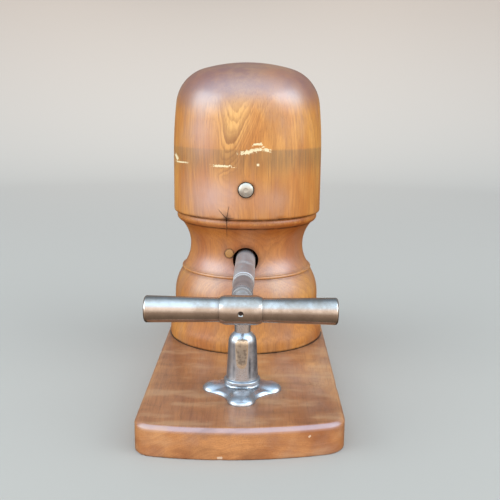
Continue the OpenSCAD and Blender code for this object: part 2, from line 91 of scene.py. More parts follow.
def makeCamera():
    s = named(cameraSet)
    data = bpy.data.cameras.new("photoCamera")
    data.lens, data.sensor_width, data.sensor_fit = s.lens, s.sensor, "HORIZONTAL"
    data.clip_start, data.clip_end = 0.01, 50
    scene.camera = bpy.data.objects.new("photoCamera", data)
    standAt(scene.camera, s.right, s.up, s.back, s.place)


makeCamera()
print("camera set")


def smoothStep(value, low, high):
    share = np.clip((value - low) / (high - low), 0, 1)
    return share * share * (3 - 2 * share)


def window(value, low, lowIn, highIn, high):  # 1 from lowIn to highIn, eased to 0 at low and at high
    return smoothStep(value, low, lowIn) * smoothStep(value, high, highIn)


def bell(value, middle, width):  # e to the minus square of the distance, counted in widths
    return np.exp(-(((value - middle) / width) ** 2))


def fullTurn(count):  # angles once round, as one row
    return np.linspace(0, 2 * np.pi, count, endpoint=False)[None, :]


# Points on an arc: centre plus radius times cosine and sine of an angle that runs from one end to the other
def arcLine(centre, radius, start, end, count):
    turn = np.radians(np.linspace(start, end, count))
    return np.column_stack([centre[0] + radius * np.cos(turn), centre[1] + radius * np.sin(turn)])


# A line with eased corners: corner + reach * (side before * (1 - t)^2 + side after * t^2), t from 0 to 1
def easedLine(corners, radii, steps=6):
    corner = np.asarray(corners, float)
    radius = np.broadcast_to(np.asarray(radii, float), len(corner)).copy()
    radius[[0, -1]] = 0
    before, after = np.roll(corner, 1, axis=0) - corner, np.roll(corner, -1, axis=0) - corner
    lengthBefore, lengthAfter = (np.maximum(np.linalg.norm(side, axis=1), 1e-9) for side in (before, after))
    before, after = before / lengthBefore[:, None], after / lengthAfter[:, None]
    half = np.arccos(np.clip((before * after).sum(1), -1, 1)) / 2
    reach = np.minimum(radius / np.tan(np.maximum(half, 0.01)), 0.48 * np.minimum(lengthBefore, lengthAfter))
    t = np.linspace(0, 1, steps + 1)[None, :, None]
    bend = corner[:, None] + reach[:, None, None] * (before[:, None] * (1 - t) ** 2 + after[:, None] * t**2)
    line = bend.reshape(-1, 2)
    return line[np.r_[True, np.linalg.norm(np.diff(line, axis=0), axis=1) > 1e-6]]


# The same line with more points, so that no step is longer than the given length
def denseLine(line, step):
    sides = np.diff(line, axis=0)
    count = np.maximum(1, np.ceil(np.linalg.norm(sides, axis=1) / step)).astype(int)
    first = np.cumsum(count) - count
    share = (np.arange(count.sum()) - np.repeat(first, count)) / np.repeat(count, count)
    points = np.repeat(line[:-1], count, axis=0) + share[:, None] * np.repeat(sides, count, axis=0)
    return np.vstack([points, line[-1:]])


def closedLine(corners, ease, step):  # a line that comes back to its first corner, for a hollow turned piece
    return denseLine(easedLine(corners + corners[:1], ease), step)[:-1]


# Skins a grid of points, rows by columns, with quads. Rows that shrink to a point or a line close.
def skin(name, grid, wrapRows=False):
    rows, columns = grid.shape[:2]
    i = np.arange(rows if wrapRows else rows - 1)[:, None]
    j = np.arange(columns)[None, :]
    up, side = (i + 1) % rows, (j + 1) % columns
    corners = [i * columns + j, i * columns + side, up * columns + side, up * columns + j]
    quads = np.stack(np.broadcast_arrays(*corners), -1).reshape(-1, 4)
    mesh = bpy.data.meshes.new(name)
    mesh.from_pydata((grid.reshape(-1, 3) * mm).tolist(), [], quads.tolist())
    work = bmesh.new()
    work.from_mesh(mesh)
    bmesh.ops.remove_doubles(work, verts=work.verts, dist=2e-6)
    bmesh.ops.recalc_face_normals(work, faces=work.faces)
    work.to_mesh(mesh)
    work.free()
    return linked(name, mesh)


def linked(name, mesh):
    shape = bpy.data.objects.new(name, mesh)
    scene.collection.objects.link(shape)
    return shape


# Turns a line of [radius, way] points about an axis through a place: radius * cosine, radius * sine, way.
# The radius may be reshaped first by a function of radius, way and angle.
def turned(name, line, axis="y", place=(0, 0, 0), count=96, wrapRows=False, reshape=None):
    line, turn = np.asarray(line, float), fullTurn(count)
    radius, way = line[:, :1], line[:, 1:]
    if reshape:
        radius = reshape(radius, way, turn)
    across, upward = radius * np.cos(turn), radius * np.sin(turn)
    way = np.broadcast_to(way, across.shape)
    order = {"x": [way, across, upward], "y": [across, way, upward], "z": [across, upward, way]}[axis]
    return skin(name, np.stack(order, -1) + np.asarray(place, float), wrapRows)


def rod(name, radius, start, end, axis="y", place=(0, 0, 0), count=64):  # plain round cutter
    return turned(name, [[0, start], [radius, start], [radius, end], [0, end]], axis, place, count)


# Carries an outline of [x, z] points along Y, or of [x, y] points along Z, and closes both ends at its middle
def prism(name, outline, start, end, axis):
    outline = np.asarray(outline, float)
    middle = np.repeat(outline.mean(0)[None], len(outline), axis=0)
    flat = np.stack([middle, outline, outline, middle])
    way = np.broadcast_to(np.array([start, start, end, end], float)[:, None], flat.shape[:2])
    order = [flat[..., 0], way, flat[..., 1]] if axis == "y" else [flat[..., 0], flat[..., 1], way]
    return skin(name, np.stack(order, -1))


def carve(shape, cutters, operation="DIFFERENCE"):  # cuts other shapes out of one, or joins them to it
    for cutter in cutters:
        tool = shape.modifiers.new(cutter.name, "BOOLEAN")
        tool.operation, tool.solver, tool.object = operation, "EXACT", cutter
    whole = bpy.data.meshes.new_from_object(shape.evaluated_get(bpy.context.evaluated_depsgraph_get()))
    shape.modifiers.clear()
    # Points that the cuts left side by side are merged, small gaps filled and loose edges dropped
    work = bmesh.new()
    work.from_mesh(whole)
    bmesh.ops.remove_doubles(work, verts=work.verts, dist=1e-6)
    bmesh.ops.dissolve_degenerate(work, edges=work.edges, dist=1e-6)
    bmesh.ops.holes_fill(work, edges=[edge for edge in work.edges if edge.is_boundary], sides=5)
    bmesh.ops.delete(work, geom=[edge for edge in work.edges if edge.is_wire], context="EDGES")
    work.to_mesh(whole)
    work.free()
    blank, shape.data = shape.data, whole
    bpy.data.meshes.remove(blank)
    for cutter in cutters:
        bpy.data.objects.remove(cutter)


def places(shape):  # the points of a shape, in mm
    flat = np.empty(len(shape.data.vertices) * 3, np.float32)
    shape.data.vertices.foreach_get("co", flat)
    return flat.reshape(-1, 3).T.astype(float) / mm


def paint(shape, **layers):  # keeps one number a point under each name, for the material
    for label, values in layers.items():
        layer = shape.data.attributes.new(label, "FLOAT", "POINT")
        layer.data.foreach_set("value", np.clip(values, 0, None).astype(np.float32))


def smooth(shape):
    shape.data.polygons.foreach_set("use_smooth", np.ones(len(shape.data.polygons), bool))


# Gives a shape its shading, finish, body and the solids it stands for
def dress(shape, material, body, slot, *replaced, crease=32):
    smooth(shape)
    shape.data.set_sharp_from_angle(angle=math.radians(crease))
    shape.data.materials.clear()
    shape.data.materials.append(material)
    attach(shape, body)
    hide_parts(*replaced)


# Short ways to add nodes to a tree. A socket given as a value is linked, anything else is set.
class Wires:
    def __init__(self, tree):
        self.tree = tree

    def link(self, value, socket):
        self.tree.links.new(value, socket)

    def add(self, kind, sockets=(), **settings):
        made = self.tree.nodes.new("ShaderNode" + kind)
        for key, value in settings.items():
            setattr(made, key, value)
        for key, value in dict(sockets).items():
            if isinstance(value, bpy.types.NodeSocket):
                self.link(value, made.inputs[key])
            else:
                made.inputs[key].default_value = value
        return made

    def math(self, operation, first, second=0.0, third=0.0, clamp=False):
        sockets = {0: first, 1: second, 2: third}
        return self.add("Math", sockets, operation=operation, use_clamp=clamp).outputs[0]

    def times(self, first, second, clamp=False):
        return self.math("MULTIPLY", first, second, clamp=clamp)

    def less(self, first, second, clamp=False):
        return self.math("SUBTRACT", first, second, clamp=clamp)

    def sloped(self, value, slope, start, clamp=False):  # value * slope + start
        return self.math("MULTIPLY_ADD", value, slope, start, clamp)

    def vector(self, operation, first, second):
        return self.add("VectorMath", {0: first, 1: second}, operation=operation).outputs[0]

    def scaled(self, vector, factors):  # by three numbers
        return self.vector("MULTIPLY", vector, factors)

    def grown(self, vector, factor):  # by one number
        return self.add("VectorMath", {0: vector, 3: factor}, operation="SCALE").outputs[0]

    def split(self, vector):
        return self.add("SeparateXYZ", {0: vector}).outputs

    def ramp(self, value, low, high, lowOut=0.0, highOut=1.0):
        sockets = {"Value": value, "From Min": low, "From Max": high, "To Min": lowOut, "To Max": highOut}
        return self.add("MapRange", sockets, interpolation_type="SMOOTHSTEP").outputs["Result"]

    def mix(self, share, first, second, blend="MIX"):
        return self.add("Mix", {0: share, 6: first, 7: second}, data_type="RGBA", blend_type=blend).outputs[2]

    def stained(self, colour, look, stains):  # lays tones over a colour, each by a mask times a strength
        for mask, strength, label in stains:
            colour = self.mix(self.times(mask, strength), colour, look[label])
        return colour

    def noise(self, vector, scale, detail=3.0, roughness=0.5, output="Fac"):
        sockets = {"Vector": vector, "Scale": scale, "Detail": detail, "Roughness": roughness}
        return self.add("TexNoise", sockets).outputs[output]

    def layer(self, label):
        return self.add("Attribute", attribute_name=label, attribute_type="GEOMETRY").outputs["Fac"]

    def group(self, group, sockets):
        return self.add("Group", sockets, node_tree=group).outputs

    def bump(self, shader, height, strength, distance, **settings):
        sockets = {"Height": height, "Strength": strength, "Distance": distance}
        self.link(self.add("Bump", sockets, **settings).outputs[0], shader.inputs["Normal"])


def newGroup(name, inputs, outputs):
    tree = bpy.data.node_groups.new(name, "ShaderNodeTree")
    for label, value in inputs.items():
        kind = "NodeSocketVector" if isinstance(value, tuple) else "NodeSocketFloat"
        tree.interface.new_socket(label, in_out="INPUT", socket_type=kind).default_value = value
    for label in outputs:
        tree.interface.new_socket(label, in_out="OUTPUT", socket_type="NodeSocketFloat")
    return Wires(tree), tree.nodes.new("NodeGroupInput").outputs, tree.nodes.new("NodeGroupOutput").inputs


zero = (0.0, 0.0, 0.0)


# Year rings: distance from a leaning pith over the ring spacing. Each ring darkens slowly and ends sharply.
def makeRings():
    inputs = {"Vector": zero, "Pith": zero, "Lean": zero, "Spacing": 4.0, "Wobble": 6.0, "Swell": 0.0}
    wires, given, out = newGroup("yearRings", inputs, ["Ring"])
    place = given["Vector"]
    slow = wires.scaled(place, (1, 1, 0.12))
    sway = wires.vector("SUBTRACT", wires.noise(slow, 0.022, 2.0, 0.45, "Color"), (0.5, 0.5, 0.5))
    swayed = wires.vector("ADD", place, wires.grown(sway, given["Wobble"]))
    centre = wires.vector("ADD", given["Pith"], wires.grown(given["Lean"], wires.split(place)[2]))
    off = wires.scaled(wires.vector("SUBTRACT", swayed, centre), (1, 1, 0))
    distance = wires.add("VectorMath", {0: off}, operation="LENGTH").outputs["Value"]
    fine = wires.times(wires.less(wires.noise(slow, 0.25, 2.0), 0.5), 0.35)
    steady = wires.less(wires.math("DIVIDE", distance, given["Spacing"]), given["Swell"])
    count = wires.math("ADD", steady, fine)
    part = wires.math("FRACT", count)
    line = wires.times(wires.ramp(part, 0.35, 0.92), wires.ramp(part, 0.94, 1.0, 1.0, 0.0))
    whole = wires.math("FLOOR", count)
    each = wires.add("TexWhiteNoise", {"W": whole}, noise_dimensions="1D").outputs["Value"]
    strong = wires.times(line, wires.ramp(each, 0.0, 1.0, 0.3, 1.0))
    third = wires.math("FRACT", wires.times(count, 3.0))
    thin = wires.times(wires.ramp(third, 0.3, 0.85, 0.0, 0.5), wires.ramp(third, 0.9, 1.0, 1.0, 0.0))
    wires.link(wires.math("MAXIMUM", strong, thin), out["Ring"])
    return wires.tree


# Fine figure of the wood along Z: long fibres, short dark pores, slow clouds and dull blotches
def makeFibres():
    wires, given, out = newGroup("woodFibres", {"Vector": zero}, ["Fibre", "Pores", "Clouds", "Blotches"])
    long, short, wide = (wires.scaled(given["Vector"], (1, 1, drawn)) for drawn in (0.022, 0.09, 0.35))
    wires.link(wires.noise(long, 0.9, 4.0, 0.6), out["Fibre"])
    wires.link(wires.ramp(wires.noise(short, 1.5, 2.0, 0.5), 0.6, 0.72), out["Pores"])
    wires.link(wires.noise(wide, 0.028, 3.0, 0.55), out["Clouds"])
    wires.link(wires.noise(wires.vector("ADD", wide, (70, 30, 10)), 0.045, 4.0, 0.6), out["Blotches"])
    return wires.tree


# Age of a surface: an edge mask and a mask of dirt and painted shade broken up by noise, and marks from use
def makeAge():
    inputs = {"Vector": zero, "Edge": 0.0, "DirtAndShade": 0.0}
    wires, given, out = newGroup("ageOfSurface", inputs, ["Worn", "GrimeAndShade", "Marks"])
    place, edge = given["Vector"], given["Edge"]
    shifted = wires.math("ADD", edge, wires.times(wires.less(wires.noise(place, 0.35, 4.0, 0.6), 0.5), 0.9))
    wires.link(wires.times(wires.ramp(shifted, 0.4, 0.75), wires.ramp(edge, 0.02, 0.2)), out["Worn"])
    smudge = wires.ramp(wires.noise(place, 0.09, 4.0, 0.62), 0.25, 0.7, 0.35, 1.0)
    wires.link(wires.times(given["DirtAndShade"], smudge, clamp=True), out["GrimeAndShade"])
    slide = wires.add("Mapping", {"Vector": place, "Rotation": (0.5, 0.9, 0.3), "Scale": (0.03, 1.0, 0.4)})
    wires.link(wires.ramp(wires.noise(slide.outputs[0], 1.1, 2.0, 0.5), 0.69, 0.76), out["Marks"])
    return wires.tree


# A stroke seen along Y: a thin turned box in X and Z, frayed by noise, on the front only
def makeStroke():
    inputs = {"Vector": zero, "Middle": zero, "Half Length": 5.0, "Half Height": 1.0}
    wires, given, out = newGroup("frayedStroke", {**inputs, "Turn": 0.0, "Fray": 0.5}, ["Mask"])
    off = wires.vector("SUBTRACT", given["Vector"], given["Middle"])
    sockets = {"Vector": off, "Angle": given["Turn"]}
    part = wires.split(wires.add("VectorRotate", sockets, rotation_type="Y_AXIS").outputs[0])
    along = wires.math("DIVIDE", wires.math("ABSOLUTE", part[0]), given["Half Length"])
    high = wires.math("DIVIDE", wires.math("ABSOLUTE", part[2]), given["Half Height"])
    grain = wires.less(wires.noise(given["Vector"], 0.5, 4.0, 0.7), 0.5)
    frayed = wires.sloped(grain, given["Fray"], wires.math("MAXIMUM", along, high))
    front = wires.ramp(wires.split(given["Vector"])[1], 30.0, 36.0, 1.0, 0.0)
    wires.link(wires.times(wires.ramp(frayed, 0.7, 1.0, 1.0, 0.0), front), out["Mask"])
    return wires.tree


# Old metal: clouds of tarnish, fine scratches drawn out along one axis, and pits
def makeTarnish():
    inputs = {"Vector": zero, "Stretch": (1.0, 1.0, 1.0)}
    wires, given, out = newGroup("oldMetal", inputs, ["Tarnish", "Scratch", "Pits"])
    place = given["Vector"]
    cloud, spot = wires.noise(place, 0.06, 3.0, 0.5), wires.noise(place, 0.3, 3.0, 0.55)
    wires.link(wires.ramp(wires.sloped(spot, 0.3, cloud), 0.45, 0.9), out["Tarnish"])
    wires.link(wires.noise(wires.scaled(place, given["Stretch"]), 2.6, 4.0, 0.65), out["Scratch"])
    wires.link(wires.ramp(wires.noise(place, 1.1, 2.0, 0.5), 0.7, 0.78), out["Pits"])
    return wires.tree


ringGroup, fibreGroup, ageGroup = makeRings(), makeFibres(), makeAge()
strokeGroup, tarnishGroup = makeStroke(), makeTarnish()


def startMaterial(name):  # an empty material with its wires, its shader and the object's own place in mm
    material = bpy.data.materials.new(name)
    material.use_nodes = True
    wires = Wires(material.node_tree)
    wires.tree.nodes.clear()
    shader = wires.add("BsdfPrincipled")
    wires.link(shader.outputs[0], wires.add("OutputMaterial").inputs[0])
    place = wires.scaled(wires.add("TexCoord").outputs["Object"], (1000, 1000, 1000))
    return material, wires, shader, place


def setShader(shader, **values):
    for key, value in values.items():
        shader.inputs[key.replace("_", " ")].default_value = value


def addAge(wires, place):  # wear and dirt from the painted layers
    return wires.group(ageGroup, {"Vector": place, "Edge": wires.layer("edge"), "DirtAndShade": wires.layer("dirt")})


def alongY(wires, place):  # a place turned so that grain along Z runs along Y, and its parts
    parts = wires.split(place)
    return wires.add("CombineXYZ", {0: parts[0], 1: parts[2], 2: parts[1]}).outputs[0], parts


blockLook = {
    "pale": tone(196, 134, 62), "honey": tone(169, 100, 38), "dull": tone(156, 112, 82),
    # Of these tones the crown's is partly darker patina and partly painted shade and sheen tint, the pale
    # lilac one is painted sheen, the one multiplied over the cove is painted shade, and the darkest serves
    # grime, cracks and painted shade
    "ring": tone(104, 52, 17), "deep": tone(82, 42, 17), "grimeAndShade": tone(30, 18, 11), "tide": tone(102, 82, 54),
    "crown": tone(108, 65, 56), "bloom": tone(176, 138, 124), "amber": tone(230, 212, 200),
    "chip": tone(214, 194, 152), "knot": tone(44, 25, 14), "bright": tone(220, 168, 98),
    "pith": (-22.0, 96.0, 0.0), "lean": (0.03, 0.05, 0.0), "spacing": 3.8, "wobble": 16.0,
    "strokes": [  # middle x and z, half length, half height, turn in degrees, fray
        (1.5, 234.6, 8.0, 2.2, 9, 3.2), (11.0, 237.0, 7.0, 1.8, 12, 3.6), (11.0, 242.4, 5.2, 1.3, 6, 2.4),
        (20.5, 236.6, 4.0, 1.7, -14, 3.4), (-23.5, 220.4, 10.0, 1.15, 1, 3.2),
        (11.8, 222.2, 1.4, 1.4, 0, 0.6), (-68.0, 221.0, 8.0, 0.8, 3, 2.4), (-74.5, 225.5, 3.4, 1.6, -60, 3.2),
    ],
    "splits": [  # the same for the dark cracks round the knot
        (-23.8, 172.2, 6.6, 0.36, -48, 0.9), (-18.1, 173.8, 6.8, 0.34, 80, 0.9),
        (-19.2, 161.5, 5.5, 0.42, 90, 0.7), (-19.4, 151.0, 5.5, 0.3, 90, 1.3),
        (-14.6, 168.2, 4.0, 0.34, 8, 1.0), (38.0, 166.9, 6.0, 0.5, 4, 1.2),
    ],
}
boardLook = {
    "pale": tone(186, 124, 70), "honey": tone(144, 83, 42), "dull": tone(146, 102, 76),
    # Of these tones the shade one is painted shade, the pale lilac one is painted sheen on the front rim, and
    # the darkest serves grime and a painted contact shadow
    "ring": tone(114, 62, 31), "deep": tone(82, 46, 23), "grimeAndShade": tone(30, 18, 11),
    "worn": tone(182, 134, 92), "shade": tone(210, 194, 196), "bloom": tone(160, 138, 140),
    "chip": tone(212, 188, 160), "smear": tone(186, 142, 100),
    "foot": (0.0, 53.0, 85.0),  # middle x and y and radius of the block that stands on it
    "chips": [(57.0, 18.2, 1.2, 0.9, 30, 1.8), (-15.7, 2.0, 2.2, 1.0, 0, 1.8)],  # strokes, as on the block
    "pith": (36.0, -150.0, 0.0), "lean": (0.02, 0.075, 0.0), "spacing": 5.5, "wobble": 24.0,
}


# Rings, clouds and fibres of a piece of wood, grain along Z
def woodBase(wires, place, look, figure, swell=0.0, glow=None):
    sockets = {label.title(): look[label] for label in ("pith", "lean", "spacing", "wobble")}
    rings = wires.group(ringGroup, {"Vector": place, "Swell": swell, **sockets})
    fibres = wires.group(fibreGroup, {"Vector": place})
    ground = wires.mix(wires.ramp(fibres["Clouds"], 0.3, 0.7), look["honey"], look["pale"])
    ground = wires.mix(wires.ramp(fibres["Blotches"], 0.45, 0.72, 0.0, 0.6), ground, look["dull"])
    if glow:
        ground = wires.mix(glow, ground, look["bright"])
    streaks = wires.ramp(fibres["Fibre"], 0.42, 0.78)
    stains = [(rings["Ring"], figure, "ring"), (streaks, 0.42, "ring"), (fibres["Pores"], 0.35, "deep")]
    return wires.stained(ground, look, stains), fibres


def strokeMask(wires, place, strokes):  # the strongest of many strokes
    masks = []
    for x, z, long, high, turn, fray in strokes:
        sockets = {"Vector": place, "Middle": (x, 0.0, z), "Half Length": long, "Half Height": high}
        masks.append(wires.group(strokeGroup, {**sockets, "Turn": math.radians(turn), "Fray": fray})["Mask"])
    whole = masks[0]
    for mask in masks[1:]:
        whole = wires.math("MAXIMUM", mask, whole)
    return whole


def makeBlockWood():
    look = blockLook
    material, wires, shader, place = startMaterial("honeyVarnishedWood")
    figure, swell, bright, amber, tide, crown, bloom, knot, polish = (
        wires.layer(label)
        for label in ("figure", "swell", "bright", "amber", "tide", "crown", "bloom", "knot", "polish")
    )
    wood, fibres = woodBase(wires, place, look, figure, swell, bright)
    age = addAge(wires, place)
    chips, splits = strokeMask(wires, place, look["strokes"]), strokeMask(wires, place, look["splits"])
    streaks = wires.ramp(fibres["Fibre"], 0.3, 0.65, 0.5, 1.0)
    clouded = wires.ramp(wires.noise(place, 0.07, 4.0, 0.6), 0.35, 0.62, 0.83, 1.0)
    # Painted shade darkens the cove and the lower block, the crown's tone is partly patina and partly painted
    # shade and sheen, and the pale lilac patches are painted sheen
    wood = wires.mix(amber, wood, look["amber"], "MULTIPLY")
    wood = wires.stained(wood, look, [
        (tide, streaks, "tide"), (crown, clouded, "crown"), (bloom, clouded, "bloom"), (knot, 0.8, "knot"),
        (age["Worn"], 0.5, "pale"), (age["Marks"], 0.12, "pale"), (age["GrimeAndShade"], 0.85, "grimeAndShade"),
        (splits, 0.7, "grimeAndShade"), (chips, 0.92, "chip"),
    ])
    wires.link(wood, shader.inputs["Base Color"])
    gloss = wires.sloped(age["GrimeAndShade"], 0.25, wires.sloped(fibres["Clouds"], 0.16, 0.32))
    wires.link(wires.sloped(chips, 0.3, gloss), shader.inputs["Roughness"])
    sheen = wires.less(wires.less(polish, chips), wires.times(age["GrimeAndShade"], 0.5), clamp=True)
    wires.link(sheen, shader.inputs["Coat Weight"])
    lathe = wires.noise(wires.scaled(place, (0.05, 0.05, 1)), 0.9, 2.0)
    height = wires.sloped(fibres["Fibre"], 0.5, wires.times(lathe, 0.35))
    for mask, depth in ((fibres["Pores"], 0.35), (chips, 1.6), (splits, 1.6)):
        height = wires.less(height, wires.times(mask, depth))
    wires.bump(shader, height, 0.22, 0.0006)
    setShader(shader, Coat_Roughness=0.32, Coat_IOR=1.9, Specular_IOR_Level=0.3)
    return material


def makeBoardWood():
    look = boardLook
    material, wires, shader, place = startMaterial("brownVarnishedBoard")
    along, parts = alongY(wires, place)
    wood, fibres = woodBase(wires, along, look, 0.28)
    age, bloom = addAge(wires, place), wires.layer("bloom")
    smeared = wires.noise(wires.scaled(place, (0.022, 0.06, 0.06)), 1.0, 3.0, 0.55)
    # Painted contact shadow: a dark line where the front half stands, from the distance to its middle less its
    # radius
    footX, footY, footRadius = look["foot"]
    off = wires.less(parts[0], footX), wires.less(parts[1], footY)
    squares = [wires.math("POWER", part, 2.0) for part in off]
    gap = wires.less(wires.math("SQRT", wires.math("ADD", *squares)), footRadius)
    line = wires.ramp(wires.math("ABSOLUTE", gap), 0.5, 2.0, 0.9, 0.0)
    # Painted shade on the top, painted sheen on the front rim, and grime with a painted contact shadow at the
    # block's foot line
    wood = wires.mix(wires.layer("shade"), wood, look["shade"], "MULTIPLY")
    wood = wires.stained(wood, look, [
        (bloom, 1.0, "bloom"), (wires.ramp(smeared, 0.48, 0.7), 0.32, "smear"),
        (wires.ramp(smeared, 0.46, 0.3), 0.26, "deep"), (age["Worn"], 0.6, "worn"),
        (age["Marks"], 0.25, "worn"), (age["GrimeAndShade"], 0.85, "grimeAndShade"),
        (strokeMask(wires, place, look["chips"]), 0.6, "chip"),
        (line, wires.ramp(parts[1], footY - 4, footY - 1, 1.0, 0.0), "grimeAndShade"),
    ])
    wires.link(wood, shader.inputs["Base Color"])
    gloss = wires.sloped(fibres["Clouds"], 0.22, 0.3)
    wires.link(wires.sloped(age["GrimeAndShade"], 0.2, gloss), shader.inputs["Roughness"])
    height = wires.less(wires.times(fibres["Fibre"], 0.6), wires.times(fibres["Pores"], 0.4))
    wires.bump(shader, wires.less(height, wires.times(age["Marks"], 0.5)), 0.25, 0.0006)
    wires.link(wires.sloped(bloom, -0.9, 0.6, clamp=True), shader.inputs["Coat Weight"])
    setShader(shader, Coat_Roughness=0.24, Specular_IOR_Level=0.5)
    return material


plugLook = {
    "pale": tone(168, 118, 64), "ring": tone(128, 78, 34), "deep": tone(82, 46, 22),
    "pith": (-27.0, 116.0, 0.0), "spacing": 1.6, "wobble": 3.0,
}


def makePlugWood():
    look = plugLook
    material, wires, shader, place = startMaterial("paleEndGrain")
    sockets = {"Pith": look["pith"], "Spacing": look["spacing"], "Wobble": look["wobble"]}
    rings = wires.group(ringGroup, {"Vector": alongY(wires, place)[0], **sockets})
    pores = wires.ramp(wires.noise(place, 2.2, 2.0), 0.58, 0.7)
    wood = wires.stained(look["pale"], look, [(rings["Ring"], 0.6, "ring"), (pores, 0.5, "deep")])
    wires.link(wood, shader.inputs["Base Color"])
    wires.link(wires.ramp(pores, 0.0, 1.0, 0.42, 0.6), shader.inputs["Roughness"])
    wires.bump(shader, pores, 0.25, 0.0004, invert=True)
    return material


metalLooks = {
    "wornSteel": {
        "clean": tone(185, 178, 171), "tarnish": tone(148, 133, 118), "dark": tone(62, 48, 38),
        "edge": tone(208, 204, 198), "film": tone(100, 86, 72),
        "stretch": (0.06, 1.0, 1.0), "gloss": (0.14, 0.22), "pits": 0.25, "cover": 0.06,
    },
    "greySteel": {
        "clean": tone(176, 172, 170), "tarnish": tone(138, 130, 124), "dark": tone(60, 50, 44),
        "edge": tone(214, 212, 210), "film": tone(164, 153, 145),
        "stretch": (1.0, 0.06, 1.0), "gloss": (0.34, 0.52), "pits": 0.4, "cover": 0.7,
    },
    "darkSteel": {
        "clean": tone(98, 92, 88), "tarnish": tone(70, 54, 43), "dark": tone(32, 25, 21),
        "edge": tone(140, 136, 132), "film": tone(52, 42, 35),
        "stretch": (1.0, 0.1, 1.0), "gloss": (0.34, 0.5), "pits": 0.6, "cover": 0.4,
    },
    "brightSteel": {
        "clean": tone(184, 178, 166), "tarnish": tone(152, 142, 126), "dark": tone(70, 58, 46),
        "edge": tone(206, 202, 192), "film": tone(164, 156, 138),
        "stretch": (1.0, 0.1, 1.0), "gloss": (0.36, 0.5), "pits": 0.3, "cover": 0.7,
    },
    "dullBrass": {
        "clean": tone(182, 148, 82), "tarnish": tone(118, 88, 46), "dark": tone(58, 43, 25),
        "edge": tone(212, 184, 124), "film": tone(92, 70, 42),
        "stretch": (1.0, 0.1, 1.0), "gloss": (0.26, 0.46), "pits": 0.4, "cover": 0.2,
    },
    "platedCasting": {
        "clean": tone(203, 205, 208), "tarnish": tone(152, 153, 157), "dark": tone(38, 41, 48),
        "edge": tone(214, 208, 198), "film": tone(98, 79, 67), "bare": tone(202, 191, 172),
        "stretch": (1.0, 1.0, 0.1), "gloss": (0.2, 0.32), "pits": 0.3, "cover": 0.12,
    },
    "rustySteel": {
        "clean": tone(66, 48, 38), "tarnish": tone(48, 32, 24), "dark": tone(24, 17, 13),
        "edge": tone(96, 80, 70), "film": tone(40, 27, 20),
        "stretch": (1.0, 1.0, 1.0), "gloss": (0.5, 0.7), "pits": 0.5, "cover": 0.8,
    },
}


def makeMetal(name):
    look = metalLooks[name]
    material, wires, shader, place = startMaterial(name)
    old = wires.group(tarnishGroup, {"Vector": place, "Stretch": look["stretch"]})
    age = addAge(wires, place)
    stains = [(old["Tarnish"], 0.75, "tarnish")]
    if "bare" in look:  # worn patch with cloudy spots
        frayed = wires.sloped(wires.less(wires.noise(place, 0.4, 4.0, 0.6), 0.5), 0.7, wires.layer("bare"))
        spots = wires.ramp(wires.noise(place, 0.3, 3.0, 0.6), 0.5, 0.62, 0.0, 0.5)
        stains.append((wires.ramp(frayed, 0.42, 0.6), 1.0, "bare"))
        stains.append((spots, wires.ramp(frayed, 0.8, 1.0), "film"))
    # Dark paint for pits and for grime and painted shade; light paint for worn edges
    stains += [(old["Pits"], look["pits"], "dark"), (age["Worn"], 0.7, "edge"), (age["GrimeAndShade"], 0.9, "dark")]
    covered = wires.times(wires.ramp(old["Tarnish"], 0.0, 0.8, 0.4, 1.0), look["cover"])
    covered = wires.math("MAXIMUM", wires.less(covered, age["Worn"], clamp=True), wires.layer("matte"))
    metal = wires.stained(look["clean"], look, stains + [(covered, 1.0, "film")])
    wires.link(metal, shader.inputs["Base Color"])
    wires.link(wires.less(1.0, covered), shader.inputs["Metallic"])
    drawn = wires.sloped(old["Scratch"], 0.5, wires.times(old["Tarnish"], 0.5))
    gloss = wires.ramp(drawn, 0.2, 0.75, *look["gloss"])
    wires.link(wires.sloped(age["GrimeAndShade"], 0.3, gloss), shader.inputs["Roughness"])
    height = wires.less(wires.times(old["Scratch"], 0.5), wires.times(old["Pits"], 0.6))
    wires.bump(shader, height, 0.1, 0.0004)
    return material


blockWood, boardWood, plugWood = makeBlockWood(), makeBoardWood(), makePlugWood()
metals = {name: makeMetal(name) for name in metalLooks}
print("materials made")

block = {
    "foot": 85.0, "band": 9.0, "belly": 79.4, "bellyHeight": 47.0, "bellyCurve": 50.0, "ringHeight": 77.0,
    "ringCurve": 1.6, "neck": 62.0, "neckHeight": 102.0, "coveCurve": 40.0, "beadHeight": 9.0,
    "beadBulge": 2.0, "grooveHeight": 138.5, "grooveDepth": 4.5, "head": 80.0, "headEdge": 3.0,
    "sideHeight": 200.0, "sideCurve": 500.0, "shoulderCurve": 42.0, "crownCurve": 170.0, "height": 297.0,
    "middleY": 53.0, "splitEdge": 0.9, "step": 1.3, "arcCount": 132, "flatCount": 44,
    "rise": 0.05,  # least rise of a flat step, so that no two rings share a height
    "tunnel": 13.3, "rodHole": 8.2, "bushHole": 11.03, "plugHole": 4.85, "screwHole": 2.33, "boltHole": 4.03,
    "screws": [(-45, 21), (45, 21), (0, -3)],  # x and y of the wood screws from below
    "knot": (-19.3, 167.3),
    # Way of each crack in x and z, and its width
    "cracks": [(-9.5, 10.5, 0.7), (2.6, 13.0, 0.65), (0.6, -17.0, 0.75), (7.5, 2.0, 0.45)],
    "chips": [  # middle x and z, half width, half height, depth
        (34.8, 167.2, 4.5, 1.6, 1.4), (-33.0, 167.5, 3.0, 1.2, 0.7), (-74.0, 226.0, 3.0, 3.0, 0.5),
        (60.0, 30.0, 4.0, 2.0, 0.7),
    ],
    "hazes": [  # the same for the pale patches of painted sheen, with their strength
        (-32, 188, 26, 20, 0.8), (24, 186, 16, 14, 0.35), (-46, 252, 15, 24, 0.4), (-34, 112, 20, 9, 0.35),
        (38, 112, 16, 8, 0.25),
    ],
}


